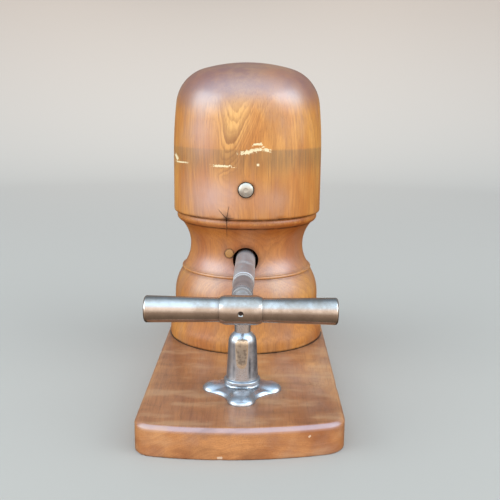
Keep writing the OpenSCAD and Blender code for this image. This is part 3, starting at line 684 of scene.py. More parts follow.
# Outline of the turned block as [radius, height] points: arcs for flare, belly, ring, cove, bead, head,
# shoulder and crown
def blockOutline(footHeight):
    s = named(block)
    flareOut, flareDown = s.foot - s.belly, s.bellyHeight - s.band
    flare = (flareOut**2 + flareDown**2) / (2 * flareOut)
    flareTurn = math.degrees(math.asin(flareDown / flare))
    bellyX, coveX = s.belly - s.bellyCurve, s.neck + s.coveCurve
    bellyTurn = math.degrees(math.asin((s.ringHeight - s.ringCurve - s.bellyHeight) / s.bellyCurve))
    beadLow, groove = s.grooveHeight - s.beadHeight, s.head - s.grooveDepth
    coveAt = lambda z: coveX - math.sqrt(s.coveCurve ** 2 - (z - s.neckHeight) ** 2)
    coveTurn = lambda z: 180 - math.degrees(math.asin((z - s.neckHeight) / s.coveCurve))
    coveStart, coveEnd = coveTurn(s.ringHeight + s.ringCurve), coveTurn(beadLow)
    # Bead: a shallow arc that bulges out from the line between its two ends
    low = np.array([coveAt(beadLow) + s.beadBulge / 2, beadLow + s.rise])
    high = np.array([groove, s.grooveHeight - s.rise])
    t = np.linspace(0, 1, 16)[:, None]
    unit = (high - low) / np.linalg.norm(high - low)
    bead = low + t * (high - low) + 4 * t * (1 - t) * s.beadBulge * np.array([unit[1], -unit[0]])
    # Shoulder: its centre is where circles inside the crown's and the side's arcs cross
    crown = np.array([0, s.height - s.crownCurve])
    side = np.array([s.head - s.sideCurve, s.sideHeight])
    first, second = s.crownCurve - s.shoulderCurve, s.sideCurve - s.shoulderCurve
    apart = np.linalg.norm(side - crown)
    along = (first**2 - second**2 + apart**2) / (2 * apart)
    way = (side - crown) / apart
    shoulder = crown + along * way + math.sqrt(first**2 - along**2) * np.array([way[1], -way[0]])
    crownTurn, sideTurn = (math.degrees(math.atan2(*(shoulder - centre)[::-1])) for centre in (crown, side))
    line = np.vstack([
        [[s.foot, footHeight], [s.foot, s.band]],
        arcLine((s.foot + flare - flareOut, s.bellyHeight), flare, 180 + 0.8 * flareTurn, 180, 16),
        arcLine((bellyX, s.bellyHeight), s.bellyCurve, bellyTurn / 14, bellyTurn, 14),
        arcLine((coveAt(s.ringHeight) - s.ringCurve / 2, s.ringHeight), s.ringCurve, -75, 75, 9),
        arcLine((coveX, s.neckHeight), s.coveCurve, coveStart, coveEnd, 26),
        bead,
        arcLine((s.head - s.headEdge, s.grooveHeight + s.headEdge), s.headEdge, -90, 0, 8),
        arcLine(side, s.sideCurve, 0, sideTurn, 20),
        arcLine(shoulder, s.shoulderCurve, sideTurn, crownTurn, 36),
        arcLine(crown, s.crownCurve, crownTurn, 90, 30),
    ])
    sides = np.diff(line, axis=0)
    turn = np.diff(np.unwrap(np.arctan2(sides[:, 1], sides[:, 0])))
    # Only real corners are eased, and the long one at the foot
    ease = np.r_[0, 45.0, np.where(np.abs(turn[1:]) > 0.25, 0.5, 0), 0]
    line = denseLine(easedLine(line, ease), s.step)
    out = np.linspace(0, s.foot - 2, 8)
    underside = np.column_stack([out, footHeight + s.rise * (1 - out / s.foot)])
    lower = np.vstack([underside, [[s.foot, footHeight]], line[2:6]])
    return np.vstack([easedLine(lower, np.r_[np.zeros(8), 0.8, np.zeros(4)]), line[6:]])


# Half of the turned block, in front of its flat face (side 1) or behind it (side -1). Each height has a
# D-shaped ring: a half circle, a straight chord and two eased corners.
def halfBlock(name, footHeight, face, side):
    s = named(block)
    radius, height = blockOutline(footHeight).T
    radius = np.maximum(radius, 0)[:, None]
    ease = np.minimum(s.splitEdge, 0.25 * radius)
    inner = np.maximum(radius - ease, 1e-9)
    lean = np.arcsin(np.clip(ease / inner, 0, 1))
    cornerX = inner * np.cos(lean)
    swing = np.linspace(-1, 1, s.arcCount)[None, :] * (np.pi / 2 - lean)
    bend = -lean + np.linspace(0, 1, 6)[None, 1:] * (np.pi / 2 + lean)
    chord = cornerX * np.linspace(1, -1, s.flatCount)[None, 1:-1]
    roundX, roundY = cornerX + ease * np.cos(bend), -ease + ease * np.sin(bend)
    x = np.hstack([radius * np.sin(swing), roundX, chord, -roundX[:, ::-1]])
    y = np.hstack([-radius * np.cos(swing), roundY, np.zeros_like(chord), roundY[:, ::-1]])
    z = np.broadcast_to(height[:, None] + boardTop, x.shape)
    push = np.zeros_like(x)
    for chipX, chipZ, wide, high, deep in s.chips:
        push += deep * np.exp(-(((x - chipX) / wide) ** 2) - ((z - chipZ) / high) ** 2) * (y < -5)
    keep = 1 - push / np.maximum(radius, 1)
    return skin(name, np.stack([x * keep, face + y * keep * side, z], -1))


def paintBlock(shape):
    s = named(block)
    x, y, z = places(shape)
    knotX, knotZ = s.knot
    plugX, _, plugZ = nodeMiddle("neck_plug")
    screwZ, rodZ = nodeMiddle("nut_tube")[2], nodeMiddle("guide_rod")[2]
    groove, ring = s.grooveHeight, s.ringHeight
    radius, front = np.hypot(x, y - s.middleY), smoothStep(y, 30, 10)
    bands = lambda *rows: sum(deep * bell(z - boardTop, height, width) for height, width, deep in rows)
    # Tongue of the figure: a leaning strip, wider upward and to the right, whose rings arch more with height
    across, climb = x + 17.5 - 0.17 * (z - 240), np.clip(z - 210, 0, 80)
    strip = np.exp(-((np.abs(across) / (np.where(across < 0, 7.0, 11.5) + 0.16 * climb)) ** 2.6)) * front
    tongue = 3.7 * strip * (1 - np.exp(-climb / 34))
    swirl = bell(x, knotX, 16) * bell(z, knotZ, 24) * front
    bright = 0.68 * strip**1.5 * smoothStep(z, 222, 262) + 0.3 * bell(x, 0, 13) * bell(z, 147, 9) * front
    figure = (0.3 + 0.5 * strip * window(z, 196, 215, 248, 292)) * smoothStep(z, 308, 278)
    paint(shape, swell=0.25 + tongue + 1.4 * swirl, figure=figure, bright=bright)
    tide = 0.58 * window(z, 204, 228, 235.5, 238.0) * smoothStep(y, 60, 30)
    tide *= 0.75 + 0.25 * smoothStep(x, -5, 30)
    knot = bell(np.hypot(x - knotX, (z - knotZ) * 0.8), 0, 3.6) * front
    # Painted shade: the cove under the head and the lower block, more to the right, are multiplied darker
    amber = window(z, 98, 114, 160, 168) + smoothStep(z, 84, 66) * (0.6 + 0.4 * smoothStep(x, 5, 45))
    # Painted sheen: pale lilac patches on the front and a faint band on the neck
    patch = sum(deep * bell(x, midX, wide) * bell(z, midZ, high) for midX, midZ, wide, high, deep in s.hazes)
    bloom = patch * front + 0.08 * window(z, 96, 108, 142, 152)
    # The crown's darker tone and its gloss reach lower at the sides
    lifted = z + (7 * smoothStep(x, 10, -40) + 4 * smoothStep(x, 25, 55)) * front
    # Crown: the dome's top goes to a mauve brown, partly darker patina and partly painted shade and sheen
    # tint; the band on the belly is a painted sheen tint
    crown = 0.92 * smoothStep(lifted, 275, 300) * (1 - 0.26 * bell(x, 28, 16))
    crown += 0.25 * window(z, 72, 88, 101, 106)
    polish = 0.14 + 0.8 * smoothStep(lifted, 271, 292) * (1 - 0.5 * smoothStep(z, 294, 312))
    polish += 0.32 * window(z, 70, 84, 112, 124)
    beadFoot = groove - s.beadHeight - 0.5
    # Dark paint, partly grime and partly painted shade: lines in the groove and beside the ring, a painted
    # shadow under the bead's lower edge and a painted contact shadow at the foot
    dirt = bands((groove + 0.6, 1.3, 0.9), (beadFoot, 0.8, 1.2), (0, 1.1, 1.3))
    dirt += bands((ring - 2.6, 1.2, 0.4), (ring + 2.6, 1.2, 0.35))
    # Darker round the tunnel's mouth, a painted shadow ring round the guide rod's end and a painted shadow
    # crescent under the plug
    dirt += 0.6 * smoothStep(np.hypot(x, z - screwZ), 19, 13) * smoothStep(radius, 50, 60)
    dirt += 0.8 * smoothStep(np.hypot(x - 0.5, z - rodZ), 11, 8) * front
    dirt += bell(np.hypot(x - plugX, z - plugZ), 4.9, 0.7) * (0.5 + 0.5 * (z < plugZ)) * front
    edge = bands((groove - 4.5, 2.0, 0.55), (ring, 1.4, 0.6), (groove + 4, 2.0, 0.4))
    edge += 0.5 * smoothStep(np.abs(y - s.middleY), 2.5, 0.6) * smoothStep(radius, 30, 60)
    paint(shape, tide=tide, knot=knot, amber=amber, crown=crown, bloom=bloom, polish=polish)
    paint(shape, dirt=dirt, edge=edge)


# Long thin crack seen along Y: a sliver that narrows to both ends. The long one down is cut deeper.
def crack(start, way, width):
    start, way = np.array(start), np.array(way)
    side = width / 2 * np.array([-way[1], way[0]]) / np.hypot(*way)
    corners = ((-0.15, 0), (0.1, 1), (0.55, 0.45), (1, 0), (0.5, -0.5), (0.12, -1))  # along, across
    outline = [start + along * way + across * side for along, across in corners]
    return prism("crack", outline, -40, -19.5 if way[1] > -14 else 2, "y")


def makeBlocks():
    s = named(block)
    plugLow, plugHigh = nodeBox("neck_plug")
    plugX, _, plugZ = nodeMiddle("neck_plug")
    screwZ, rodZ = nodeMiddle("nut_tube")[2], nodeMiddle("guide_rod")[2]
    frontFace, rearFace = nodeBox("front_block")[1][1], nodeBox("rear_block")[0][1]
    front = halfBlock("frontBlock", 0, frontFace, 1)
    cutters = [
        rod("tunnel", s.tunnel, frontFace - 85, frontFace + 1, place=(0, 0, screwZ), count=96),
        rod("rodHole", s.rodHole, frontFace - 90, frontFace + 1, place=(0, 0, rodZ)),
        rod("bushHole", s.bushHole, nodeBox("guide_bush")[0][1] - fit, frontFace + 1, place=(0, 0, rodZ)),
        rod("plugHole", s.plugHole, plugLow[1] - 2, plugHigh[1] + fit, place=(plugX, 0, plugZ)),
    ]
    cutters += [rod("screwHole", s.screwHole, 20, 60 + fit, "z", (x, y, 0), 24) for x, y in s.screws]
    cutters += [crack(s.knot, (x, z), width) for x, z, width in s.cracks]
    carve(front, cutters)
    paintBlock(front)
    dress(front, blockWood, "stand", "block_wood", "front_block")
    rear = halfBlock("rearBlock", 0.3, rearFace, -1)
    strapLow, strapHigh = nodeBox("strap_plate")
    half, bottom, top = strapHigh[0] + 0.3, strapLow[2] - 0.3, strapHigh[2] + 0.3
    pocket = [[-half, bottom], [half, bottom], [half, top], [-half, top]]
    boltX, boltY, _ = nodeMiddle("slide_bolt")
    carve(rear, [
        prism("strapPocket", pocket, rearFace - 1, strapHigh[1] + fit, "y"),
        rod("boltHole", s.boltHole, 20, 67.4, "z", (boltX, boltY, 0), 32),
    ])
    paintBlock(rear)
    dress(rear, blockWood, "carriage", "block_wood", "rear_block")
    # Plug: a short dowel with a slightly domed end
    radius, low, high = (plugHigh[0] - plugLow[0]) / 2, plugLow[1], plugHigh[1]
    corners = [[0, low], [radius * 0.6, low + 0.08], [radius, low + 0.35], [radius, high], [0, high]]
    line = denseLine(easedLine(corners, 0.35), 1.0)
    plug = turned("neckPlug", line, "y", (plugX, 0, plugZ), 48)
    dress(plug, plugWood, "stand", "pale_wood", "neck_plug")


makeBlocks()
print("block made")

board = {
    "halfWidth": 88.0, "halfLength": 213.0, "bow": 12.0, "corner": 20.0, "edge": 3.5, "bevel": 0.8,
    "skew": 5.0,  # how far the front end is out of square at its corners
    "travel": 50.0, "play": 0.3, "slotHalf": 4.3, "channelHalf": 13.3, "channelHeight": 8.0,
    "screwHead": 4.53,
    "dents": [  # middle, half width and depth
        (57, -208, 21, 2.2, 0.6), (-16, -212, 2, 3.0, 0.9), (-60, -204, 25, 4.0, 0.5),
        (30, -212, 26, 6.0, 0.4), (86, -110, 26, 8.0, 0.5),
    ],
}


def endSkew(x, y):  # the front end's left corner stands forward, its right corner back
    s = named(board)
    return s.skew * (x / s.halfWidth + s.skew / (4 * s.bow)) * smoothStep(-y, 90, 195)


# Outline of the board at an inset, as [x, y] points: straight sides, corner arcs and bowed ends that touch
def boardRing(inset):
    s = named(board)
    bow = (s.halfWidth ** 2 + s.bow ** 2) / (2 * s.bow)
    cornerX, bowY = s.halfWidth - s.corner, s.halfLength - bow
    cornerY = bowY + math.sqrt((bow - s.corner) ** 2 - cornerX**2)
    turn = math.degrees(math.atan2(cornerY - bowY, cornerX))
    step = (180 - 2 * turn) / 44
    end = np.vstack([
        arcLine((cornerX, cornerY), s.corner - inset, 0, turn, 12),
        arcLine((0, bowY), bow - inset, turn + step, 180 - turn - step, 43),
        arcLine((-cornerX, cornerY), s.corner - inset, 180 - turn, 180, 12),
    ])
    side = np.linspace(cornerY, -cornerY, 60)[1:-1]
    left = np.column_stack([np.full_like(side, inset - s.halfWidth), side])
    return np.vstack([end, left, -end, -left])


# Board: rings stacked from the underside's middle line, round the bevel, side and eased top edge, to the
# top's middle line
def makeBoard():
    s = named(board)
    inner, under = boardRing(s.edge), boardRing(s.bevel)
    reach = s.halfLength - s.halfWidth
    spine = np.column_stack([np.zeros(len(inner)), np.clip(inner[:, 1], -reach, reach)])
    rows = [(spine + share * (under - spine), 0.0) for share in np.linspace(0, 1, 8)]
    rows += [(boardRing(0), z) for z in np.linspace(s.bevel, boardTop - s.edge, 12)]
    # Worn edge: halfway between a quarter round and a flat bevel
    for turn in np.radians(np.linspace(9, 90, 10)):
        part = turn / (np.pi / 2)
        inset, drop = (1 - math.cos(turn) + part) / 2, (1 - math.sin(turn) + 1 - part) / 2
        rows.append((boardRing(s.edge * inset), boardTop - s.edge * drop))
    rows += [(inner + share * (spine - inner), boardTop) for share in np.linspace(0, 1, 36)[1:]]
    grid = np.stack([np.column_stack([ring, np.full(len(ring), z)]) for ring, z in rows])
    grid[..., 1] += endSkew(grid[..., 0], grid[..., 1])
    for x, y, z, wide, deep in s.dents:
        near = np.exp(-((grid - np.array([x, y, z])) ** 2).sum(-1) / wide**2)
        onSide = abs(x) > 80
        inward = np.array([np.sign(x) * onSide, -1.0 * (not onSide), 0.5 * (z > 10)])
        grid = grid - deep * near[..., None] * inward
    shape = skin("baseBoard", grid)
    keyLow, keyHigh = nodeBox("slide_key")
    boltY = nodeMiddle("slide_bolt")[1]
    half, floor = keyHigh[0] + s.play, keyLow[2] - s.play
    near, far = keyLow[1] - s.play, keyHigh[1] + s.travel + s.play

    def slot(wide):  # round-ended outline that follows the bolt
        ends = arcLine((0, boltY), wide, 180, 360, 24), arcLine((0, boltY + s.travel), wide, 0, 180, 24)
        return np.vstack(ends)

    cutters = [
        prism("keyGroove", [[-half, near], [half, near], [half, far], [-half, far]], floor, boardTop + 1, "z"),
        prism("boltSlot", slot(s.slotHalf), -1, floor + 1, "z"),
        prism("washerChannel", slot(s.channelHalf), -1, s.channelHeight, "z"),
    ]
    head, hole = s.screwHead, block["screwHole"]
    screwLine = [[0, -1], [head, -1], [head, 0], [hole, 2.2], [hole, 30], [0, 30]]
    cutters += [turned("screwHole", screwLine, "z", (x, y, 0), 32) for x, y in block["screws"]]
    carve(shape, cutters)
    x, y, z = places(shape)
    upper = smoothStep(z, 22, 26)
    _, footY, footRadius = boardLook["foot"]
    foot = np.hypot(x, np.minimum(y - footY, 0)) - footRadius
    # Painted shade on the top close in front of the block's foot, darker toward the bottom edge, and a dark
    # ring round the casting's foot, partly grime and partly painted contact shadow
    dirt = 0.3 * smoothStep(foot, 12, 0) * upper * (y < footY) + 0.5 * smoothStep(z, 1.8, 0.3)
    dirt += 0.3 * bell(np.hypot(x, y + 128), 37, 8) * upper
    ends = smoothStep(np.abs(y - endSkew(x, y)) + s.bow * (x / s.halfWidth) ** 2, 207, 210.5)
    rim = np.maximum(ends, smoothStep(np.abs(x), 83, 85.5))
    edge = 0.3 * rim * smoothStep(z, 22.3, 25.0) + 0.55 * upper * bell(x, 70, 20) * bell(y, -108, 34)
    corner = smoothStep(x, -25, -70) * smoothStep(y, -165, -200)
    shade = 0.75 * smoothStep(y, -105, -185) * (1 - 0.35 * smoothStep(x, 10, 60))
    shade = upper * (shade + 0.7 * smoothStep(x, 5, -70) + 0.6 * corner) * (1 - 0.5 * rim)
    # Painted sheen: a pale lilac band on the front rim's rounding and a faint patch on the top's right, with
    # less coat there
    bloom = 0.6 * ends * window(z, 22.8, 24.4, 26.4, 27.0) + 0.12 * upper * bell(x, 60, 26) * bell(y, -95, 40)
    paint(shape, dirt=dirt, edge=edge, shade=shade, bloom=bloom)
    dress(shape, boardWood, "stand", "board_wood", "base_board")


makeBoard()
print("board made")

bracket = {
    "y": -125.0, "side": 24.0, "front": 31.0, "lobeHalf": 12.0, "lobeHeight": 6.6, "disc": 24.0,
    "blend": 12.0, "rim": 1.8, "ring": 15.2, "collar": 16.6, "ringHeight": 11.5, "low": 14.0,
    "topRadius": 12.75, "height": 44.5, "shoulder": 12.0, "stem": 7.3, "barrelY": -132.0, "barrel": 9.2,
    "barrelHalf": 19.0, "bore": 6.06, "screwHead": 4.5, "screwStem": 2.3, "screwEnd": 8.0,
}


def smoothMin(first, second, blend):  # the smaller of two, with the corner where they cross filled
    mix = np.clip(0.5 + 0.5 * (second - first) / blend, 0, 1)
    return second + (first - second) * mix - blend * mix * (1 - mix)


# Foot of the casting as a height over x and y from the pillar's axis. Two round-ended bars have a round cap
# over the distance inside each, a thin web with an eased rim joins them, and a fillet climbs to the ring.
def footShape(x, y):
    s = named(bracket)
    sideBar = np.hypot(np.maximum(np.abs(x) - s.side, 0), y) - s.lobeHalf
    longBar = np.hypot(x, np.maximum(np.maximum(y - s.side, -s.front - y), 0)) - s.lobeHalf
    away = np.hypot(x, y)
    outside = smoothMin(smoothMin(sideBar, longBar, s.blend), away - s.disc, s.blend)
    capOf = lambda bar: s.lobeHeight * np.sqrt(1 - (1 - np.clip(-bar / s.lobeHalf, 0, 1)) ** 2)
    inside = np.clip(-outside / s.rim, 0, 1)
    web = s.rim * np.sqrt(1 - (1 - inside) ** 2) + 3.2 * smoothStep(away, 32, s.ring) * inside
    height = -smoothMin(smoothMin(-capOf(sideBar), -capOf(longBar), 1.0), -web, 1.5)
    fillet = 1.2 * (1 - np.sqrt(1 - np.clip(1 - (away - s.ring) / 1.6, 0, 1) ** 2))
    return outside, height + fillet


# Casting: for each direction the foot's edge is where the outside distance is zero. From there rows run in
# to the ring over the foot's height, and go on as turned ring, pillar, shoulder and stem. The barrel joins.
def makeBracket():
    s = named(bracket)
    screwZ = nodeMiddle("nut_tube")[2]
    rise = screwZ - boardTop
    turn = fullTurn(240)
    low, high = np.full_like(turn, 10.0), np.full_like(turn, 50.0)
    for _ in range(40):
        middle = (low + high) / 2
        inside = footShape(middle * np.cos(turn), middle * np.sin(turn))[0] < 0
        low, high = np.where(inside, middle, low), np.where(inside, high, middle)
    radius = low + (1 - np.cos(np.linspace(0, np.pi / 2, 34)))[:, None] * (s.ring - low)
    height = footShape(radius * np.cos(turn), radius * np.sin(turn))[1]
    shoulderTurn = math.degrees(math.acos((s.stem - s.topRadius + s.shoulder) / s.shoulder))
    corners = np.vstack([
        [[s.ring, 7.4], [s.collar, 8.4], [s.collar, 10.6], [s.low + 0.4, s.ringHeight + 0.2]],
        arcLine((s.topRadius - s.shoulder, s.height), s.shoulder, 0, shoulderTurn, 16),
        [[s.stem, rise - 18], [s.stem + 0.6, rise - 11], [s.stem + 1.6, rise - 6], [0, rise - 6]],
    ])
    line = denseLine(easedLine(corners, np.r_[0, 1.0, 1.4, 0.8, np.zeros(16), 2.0, 4.0, 0, 0]), 1.0)
    flat = np.zeros_like(turn)
    radius = np.vstack([flat, low, radius, np.repeat(line[:, :1], turn.size, axis=1)])
    height = np.vstack([flat, flat, height, np.repeat(line[:, 1:], turn.size, axis=1)])
    grid = np.stack([radius * np.cos(turn), s.y + radius * np.sin(turn), boardTop + height], -1)
    shape = skin("pillarBracket", grid)
    end, outer = s.barrelHalf, s.barrel
    barrel = denseLine(easedLine([[0, -end], [outer, -end], [outer, end], [0, end]], 0.45), 2.0)
    carve(shape, [turned("barrel", barrel, "y", (0, s.barrelY, screwZ), 96)], "UNION")
    screwPlaces = ((s.side, 0), (-s.side, 0), (0, s.side), (0, -s.front))
    cutters = [rod("bore", s.bore, s.barrelY - 30, s.barrelY + 30, "y", (0, 0, screwZ), 96)]
    for x, y in screwPlaces:
        place = (x, s.y + y, 0)
        cutters.append(rod("head", s.screwHead + 0.05, boardTop + 2.2, boardTop + 14, "z", place, 48))
    carve(shape, cutters)
    x, y, z = places(shape)
    up, away, front = z - boardTop, np.hypot(x, y - s.y), y < s.y
    # Worn patch on the pillar's front: a rounded box, a little narrower at its foot
    box = (np.abs(x + 0.4) / (5.0 + 0.05 * (up - 28))) ** 4 + (np.abs(up - 37.5) / 12.8) ** 4
    inPatch, onBarrel = front * (up < 52) * (up > 20), up > s.height + 20
    bare = smoothStep(box, 1.5, 0.6) * inPatch
    bare += 0.3 * smoothStep(np.abs(x), 5, 1) * front * (up < 28) * (up > 13)
    pillar, beside = window(up, 12, 15, 46, 54), away > 14.6
    # Painted contact shadow at the foot and a dark line where the pillar leaves the ring; the middle of the
    # worn patch darker
    dirt = 0.8 * smoothStep(up, 0.9, 0.1) + 0.5 * bell(up, s.ringHeight + 0.5, 0.9) * (away < 14.9)
    dirt += 0.5 * smoothStep(box, 0.55, 0.15) * inPatch
    # Painted dark reflections: streaks beside the patch, the pillar's right side and both its sides; the
    # barrel darker
    dirt += 0.55 * bell(np.abs(x + 0.3), 7.0, 1.1) * front * window(up, 12, 16, 46, 56)
    dirt += (0.24 + 0.45 * smoothStep(x, 4, 9)) * pillar * (1 - bare.clip(0, 1))
    dirt += 0.3 * smoothStep(np.abs(x), 8.5, 12) * pillar + 0.42 * onBarrel
    # Painted dark reflections on the stem's sides, the ring dimmed, a painted shadow line under the ring and
    # painted shade at the lobes' roots
    dirt += 0.5 * smoothStep(np.abs(x), 5.6, 6.9) * (up > 57) * (up < s.height + 38)
    dirt += 0.5 * window(up, 6.8, 8.6, 11.0, 12.5) * (away < 17)
    dirt += 0.8 * bell(up, 7.5, 0.5) * (away < 16.9) * beside
    dirt += 0.3 * smoothStep(away, 24, 17) * smoothStep(up, 8.0, 7.0) * beside
    edge = 0.3 * bell(away, 15, 0.8) * (up > 9) * (up < 13)
    paint(shape, bare=bare, dirt=dirt, edge=edge, matte=0.78 * onBarrel)
    dress(shape, metals["platedCasting"], "stand", "bracket_metal", "pillar_bracket", crease=38)
    # Screws: heads filed flush with the foot, so their tops take its height
    ring = np.r_[0, s.screwStem, s.screwStem, s.screwHead, np.linspace(s.screwHead, 0, 7)][:, None]
    stem = np.array([s.screwEnd, s.screwEnd, boardTop + 0.3, boardTop + 2.6])[:, None]
    turn = fullTurn(48)
    work = bmesh.new()
    for screwX, screwY in screwPlaces:
        x, y = screwX + ring * np.cos(turn), screwY + ring * np.sin(turn)
        z = boardTop + footShape(x, y)[1]
        z[: len(stem)] = stem
        head = skin("screwHead", np.stack([x, s.y + y, z], -1))
        work.from_mesh(head.data)
        bpy.data.objects.remove(head)
    mesh = bpy.data.meshes.new("bracketScrews")
    work.to_mesh(mesh)
    work.free()
    dress(linked("bracketScrews", mesh), metals["platedCasting"], "stand", "dark_steel", "bracket_screws")


makeBracket()
print("bracket made")

handle = {
    "halfBar": 77.5, "end": 10.9, "middle": 9.8, "dish": 0.7, "halfBoss": 17.0, "boss": 11.9, "bevel": 1.5,
    "pin": 1.53, "spindleHole": 6.03,
}
screw = {"radius": 6.0, "shoulder": 8.5, "pitch": 5.0, "depth": 1.3, "collar": 10.0, "tubeBore": 7.5}


def makeHandle():
    s = named(handle)
    _, midY, midZ = nodeMiddle("handle_bar")
    half, dish, end = s.halfBar, s.dish, s.end
    corners = [[0, dish - half], [6.2, dish - half], [end - 1.6, -half], [end, 1.4 - half]]
    corners.append([s.middle, -s.halfBoss])
    corners += [[radius, -way] for radius, way in corners[::-1]]
    ease = [0, 2.0, 1.6, 1.8, 4.0]
    line = denseLine(easedLine(corners, ease + ease[::-1]), 2.0)
    bar = turned("handleBar", line, "x", (0, midY, midZ), 96)
    x, y, z = places(bar)
    # Darker at the joint with the boss, and a painted darker reflection along the bar's top, more to the right
    dirt = 0.55 * bell(np.abs(x), s.halfBoss + 0.5, 1.4)
    dirt += smoothStep(z - midZ, 4.0, 8.5) * (0.2 + 0.3 * smoothStep(x, 12, 40))
    paint(bar, edge=0.75 * smoothStep(np.abs(x), 74.2, 76.5), dirt=dirt)
    dress(bar, metals["wornSteel"], "screw", "worn_steel", "handle_bar")
    long, outer, inner, bevel = s.halfBoss, s.boss, s.middle + fit, s.bevel
    flat = long - 2.6 * bevel
    corners = [[inner, -long], [outer - bevel, -long], [outer, -flat]]
    corners += [[radius, -way] for radius, way in corners[::-1]]
    line = closedLine(corners, [0, 1.2, 9.0, 9.0, 1.2, 0, 0], 1.2)
    boss = turned("handleBoss", line, "x", (0, midY, midZ), 96, wrapRows=True)
    mouth = [[0, -13], [2.6, -13], [2.3, -outer + 0.1], [1.5, 0.9 - outer], [0, 0.9 - outer]]
    carve(boss, [
        rod("pinHole", s.pin, midY - 14, midY, "y", (0, 0, midZ), 32),
        turned("pinMouth", mouth, "y", (0, midY, midZ), 32),
        rod("spindleHole", s.spindleHole, midY, midY + 14, "y", (0, 0, midZ), 64),
    ])
    x, y, z = places(boss)
    radius = np.hypot(y - midY, z - midZ)
    edge = 0.25 * smoothStep(np.abs(x), 14.2, 15.2) * smoothStep(radius, 9.8, 11.2)
    # Painted shade in the pin hole and the bore, and a painted darker top
    dirt = 0.8 * smoothStep(np.hypot(x, z - midZ), 2.2, 1.4) * (y < midY)
    dirt += 0.5 * smoothStep(radius, 10.0, 9.4) + 0.22 * smoothStep(z - midZ, 4.5, 10.0)
    paint(boss, edge=edge, dirt=dirt)
    dress(boss, metals["wornSteel"], "screw", "worn_steel", "handle_boss", crease=40)


# Spindle: a turned line whose thread cuts into it. The depth depends on the part of way / pitch + angle /
# full turn, so the crest winds along it as a right-hand helix.
def makeSpindle():
    s = named(screw)
    low, high = nodeBox("spindle")
    start, end, screwZ = low[1], high[1], nodeMiddle("spindle")[2]
    collarLow, collarHigh = (corner[1] for corner in nodeBox("thrust_collar"))
    shoulder = bracket["barrelY"] - bracket["barrelHalf"] - 0.3
    r, big = s.radius, s.shoulder
    corners = [[0, start], [r, start], [r, shoulder - 5], [big, shoulder - 5], [big, shoulder], [r, shoulder]]
    plain = denseLine(easedLine(corners + [[r, collarHigh + 0.2]], [0, 0.6, 0.3, 0.4, 0.3, 0.2, 0]), 3.0)
    way = np.arange(collarHigh + 0.5, end - 0.01, 0.3)
    tail = end - way
    thread = np.column_stack([np.where(tail < 1.2, r - 1.2 + tail, r), way])
    line = np.vstack([plain, thread, [[r - 1.25, end], [0, end]]])

    def cutThread(radius, way, turn):
        part = np.mod(way / s.pitch + turn / (2 * np.pi), 1)
        groove = np.clip((0.72 - np.abs(2 * part - 1) * 1.6) * 2.4, 0, 1)
        fade = smoothStep(way, collarHigh + 0.3, collarHigh + 3.5) * (way < end - 0.005)
        return np.minimum(np.maximum(radius - s.depth * groove * fade, 0), radius)

    shape = turned("screwSpindle", line, "y", (0, 0, screwZ), 64, reshape=cutThread)
    x, y, z = places(shape)
    depth, threaded = r - np.hypot(x, z - screwZ), y > collarHigh
    dirt = 0.75 * smoothStep(depth, 0.3, 1.1) * threaded + 0.4 * (y < collarLow)
    paint(shape, dirt=dirt, edge=0.4 * threaded * smoothStep(depth, 0.3, 0.0))
    dress(shape, metals["greySteel"], "screw", "worn_steel", "spindle", crease=40)
    # Thrust collar with eased rims
    inner, outer = r + fit, s.collar
    corners = [[inner, collarLow], [outer, collarLow], [outer, collarHigh], [inner, collarHigh]]
    line = closedLine(corners, [0, 0.9, 0.9, 0, 0], 1.2)
    collar = turned("thrustCollar", line, "y", (0, 0, screwZ), 96, wrapRows=True)
    middle = (0, (collarLow + collarHigh) / 2, screwZ)
    carve(collar, [rod("pinHole", handle["pin"], -12, 12, "x", middle, 24)])
    x, y, z = places(collar)
    rim = np.minimum(y - collarLow, collarHigh - y)
    paint(collar, dirt=0.3 * smoothStep(rim, 2.4, 0.6), matte=np.full_like(rim, 0.5))
    dress(collar, metals["greySteel"], "screw", "worn_steel", "thrust_collar")


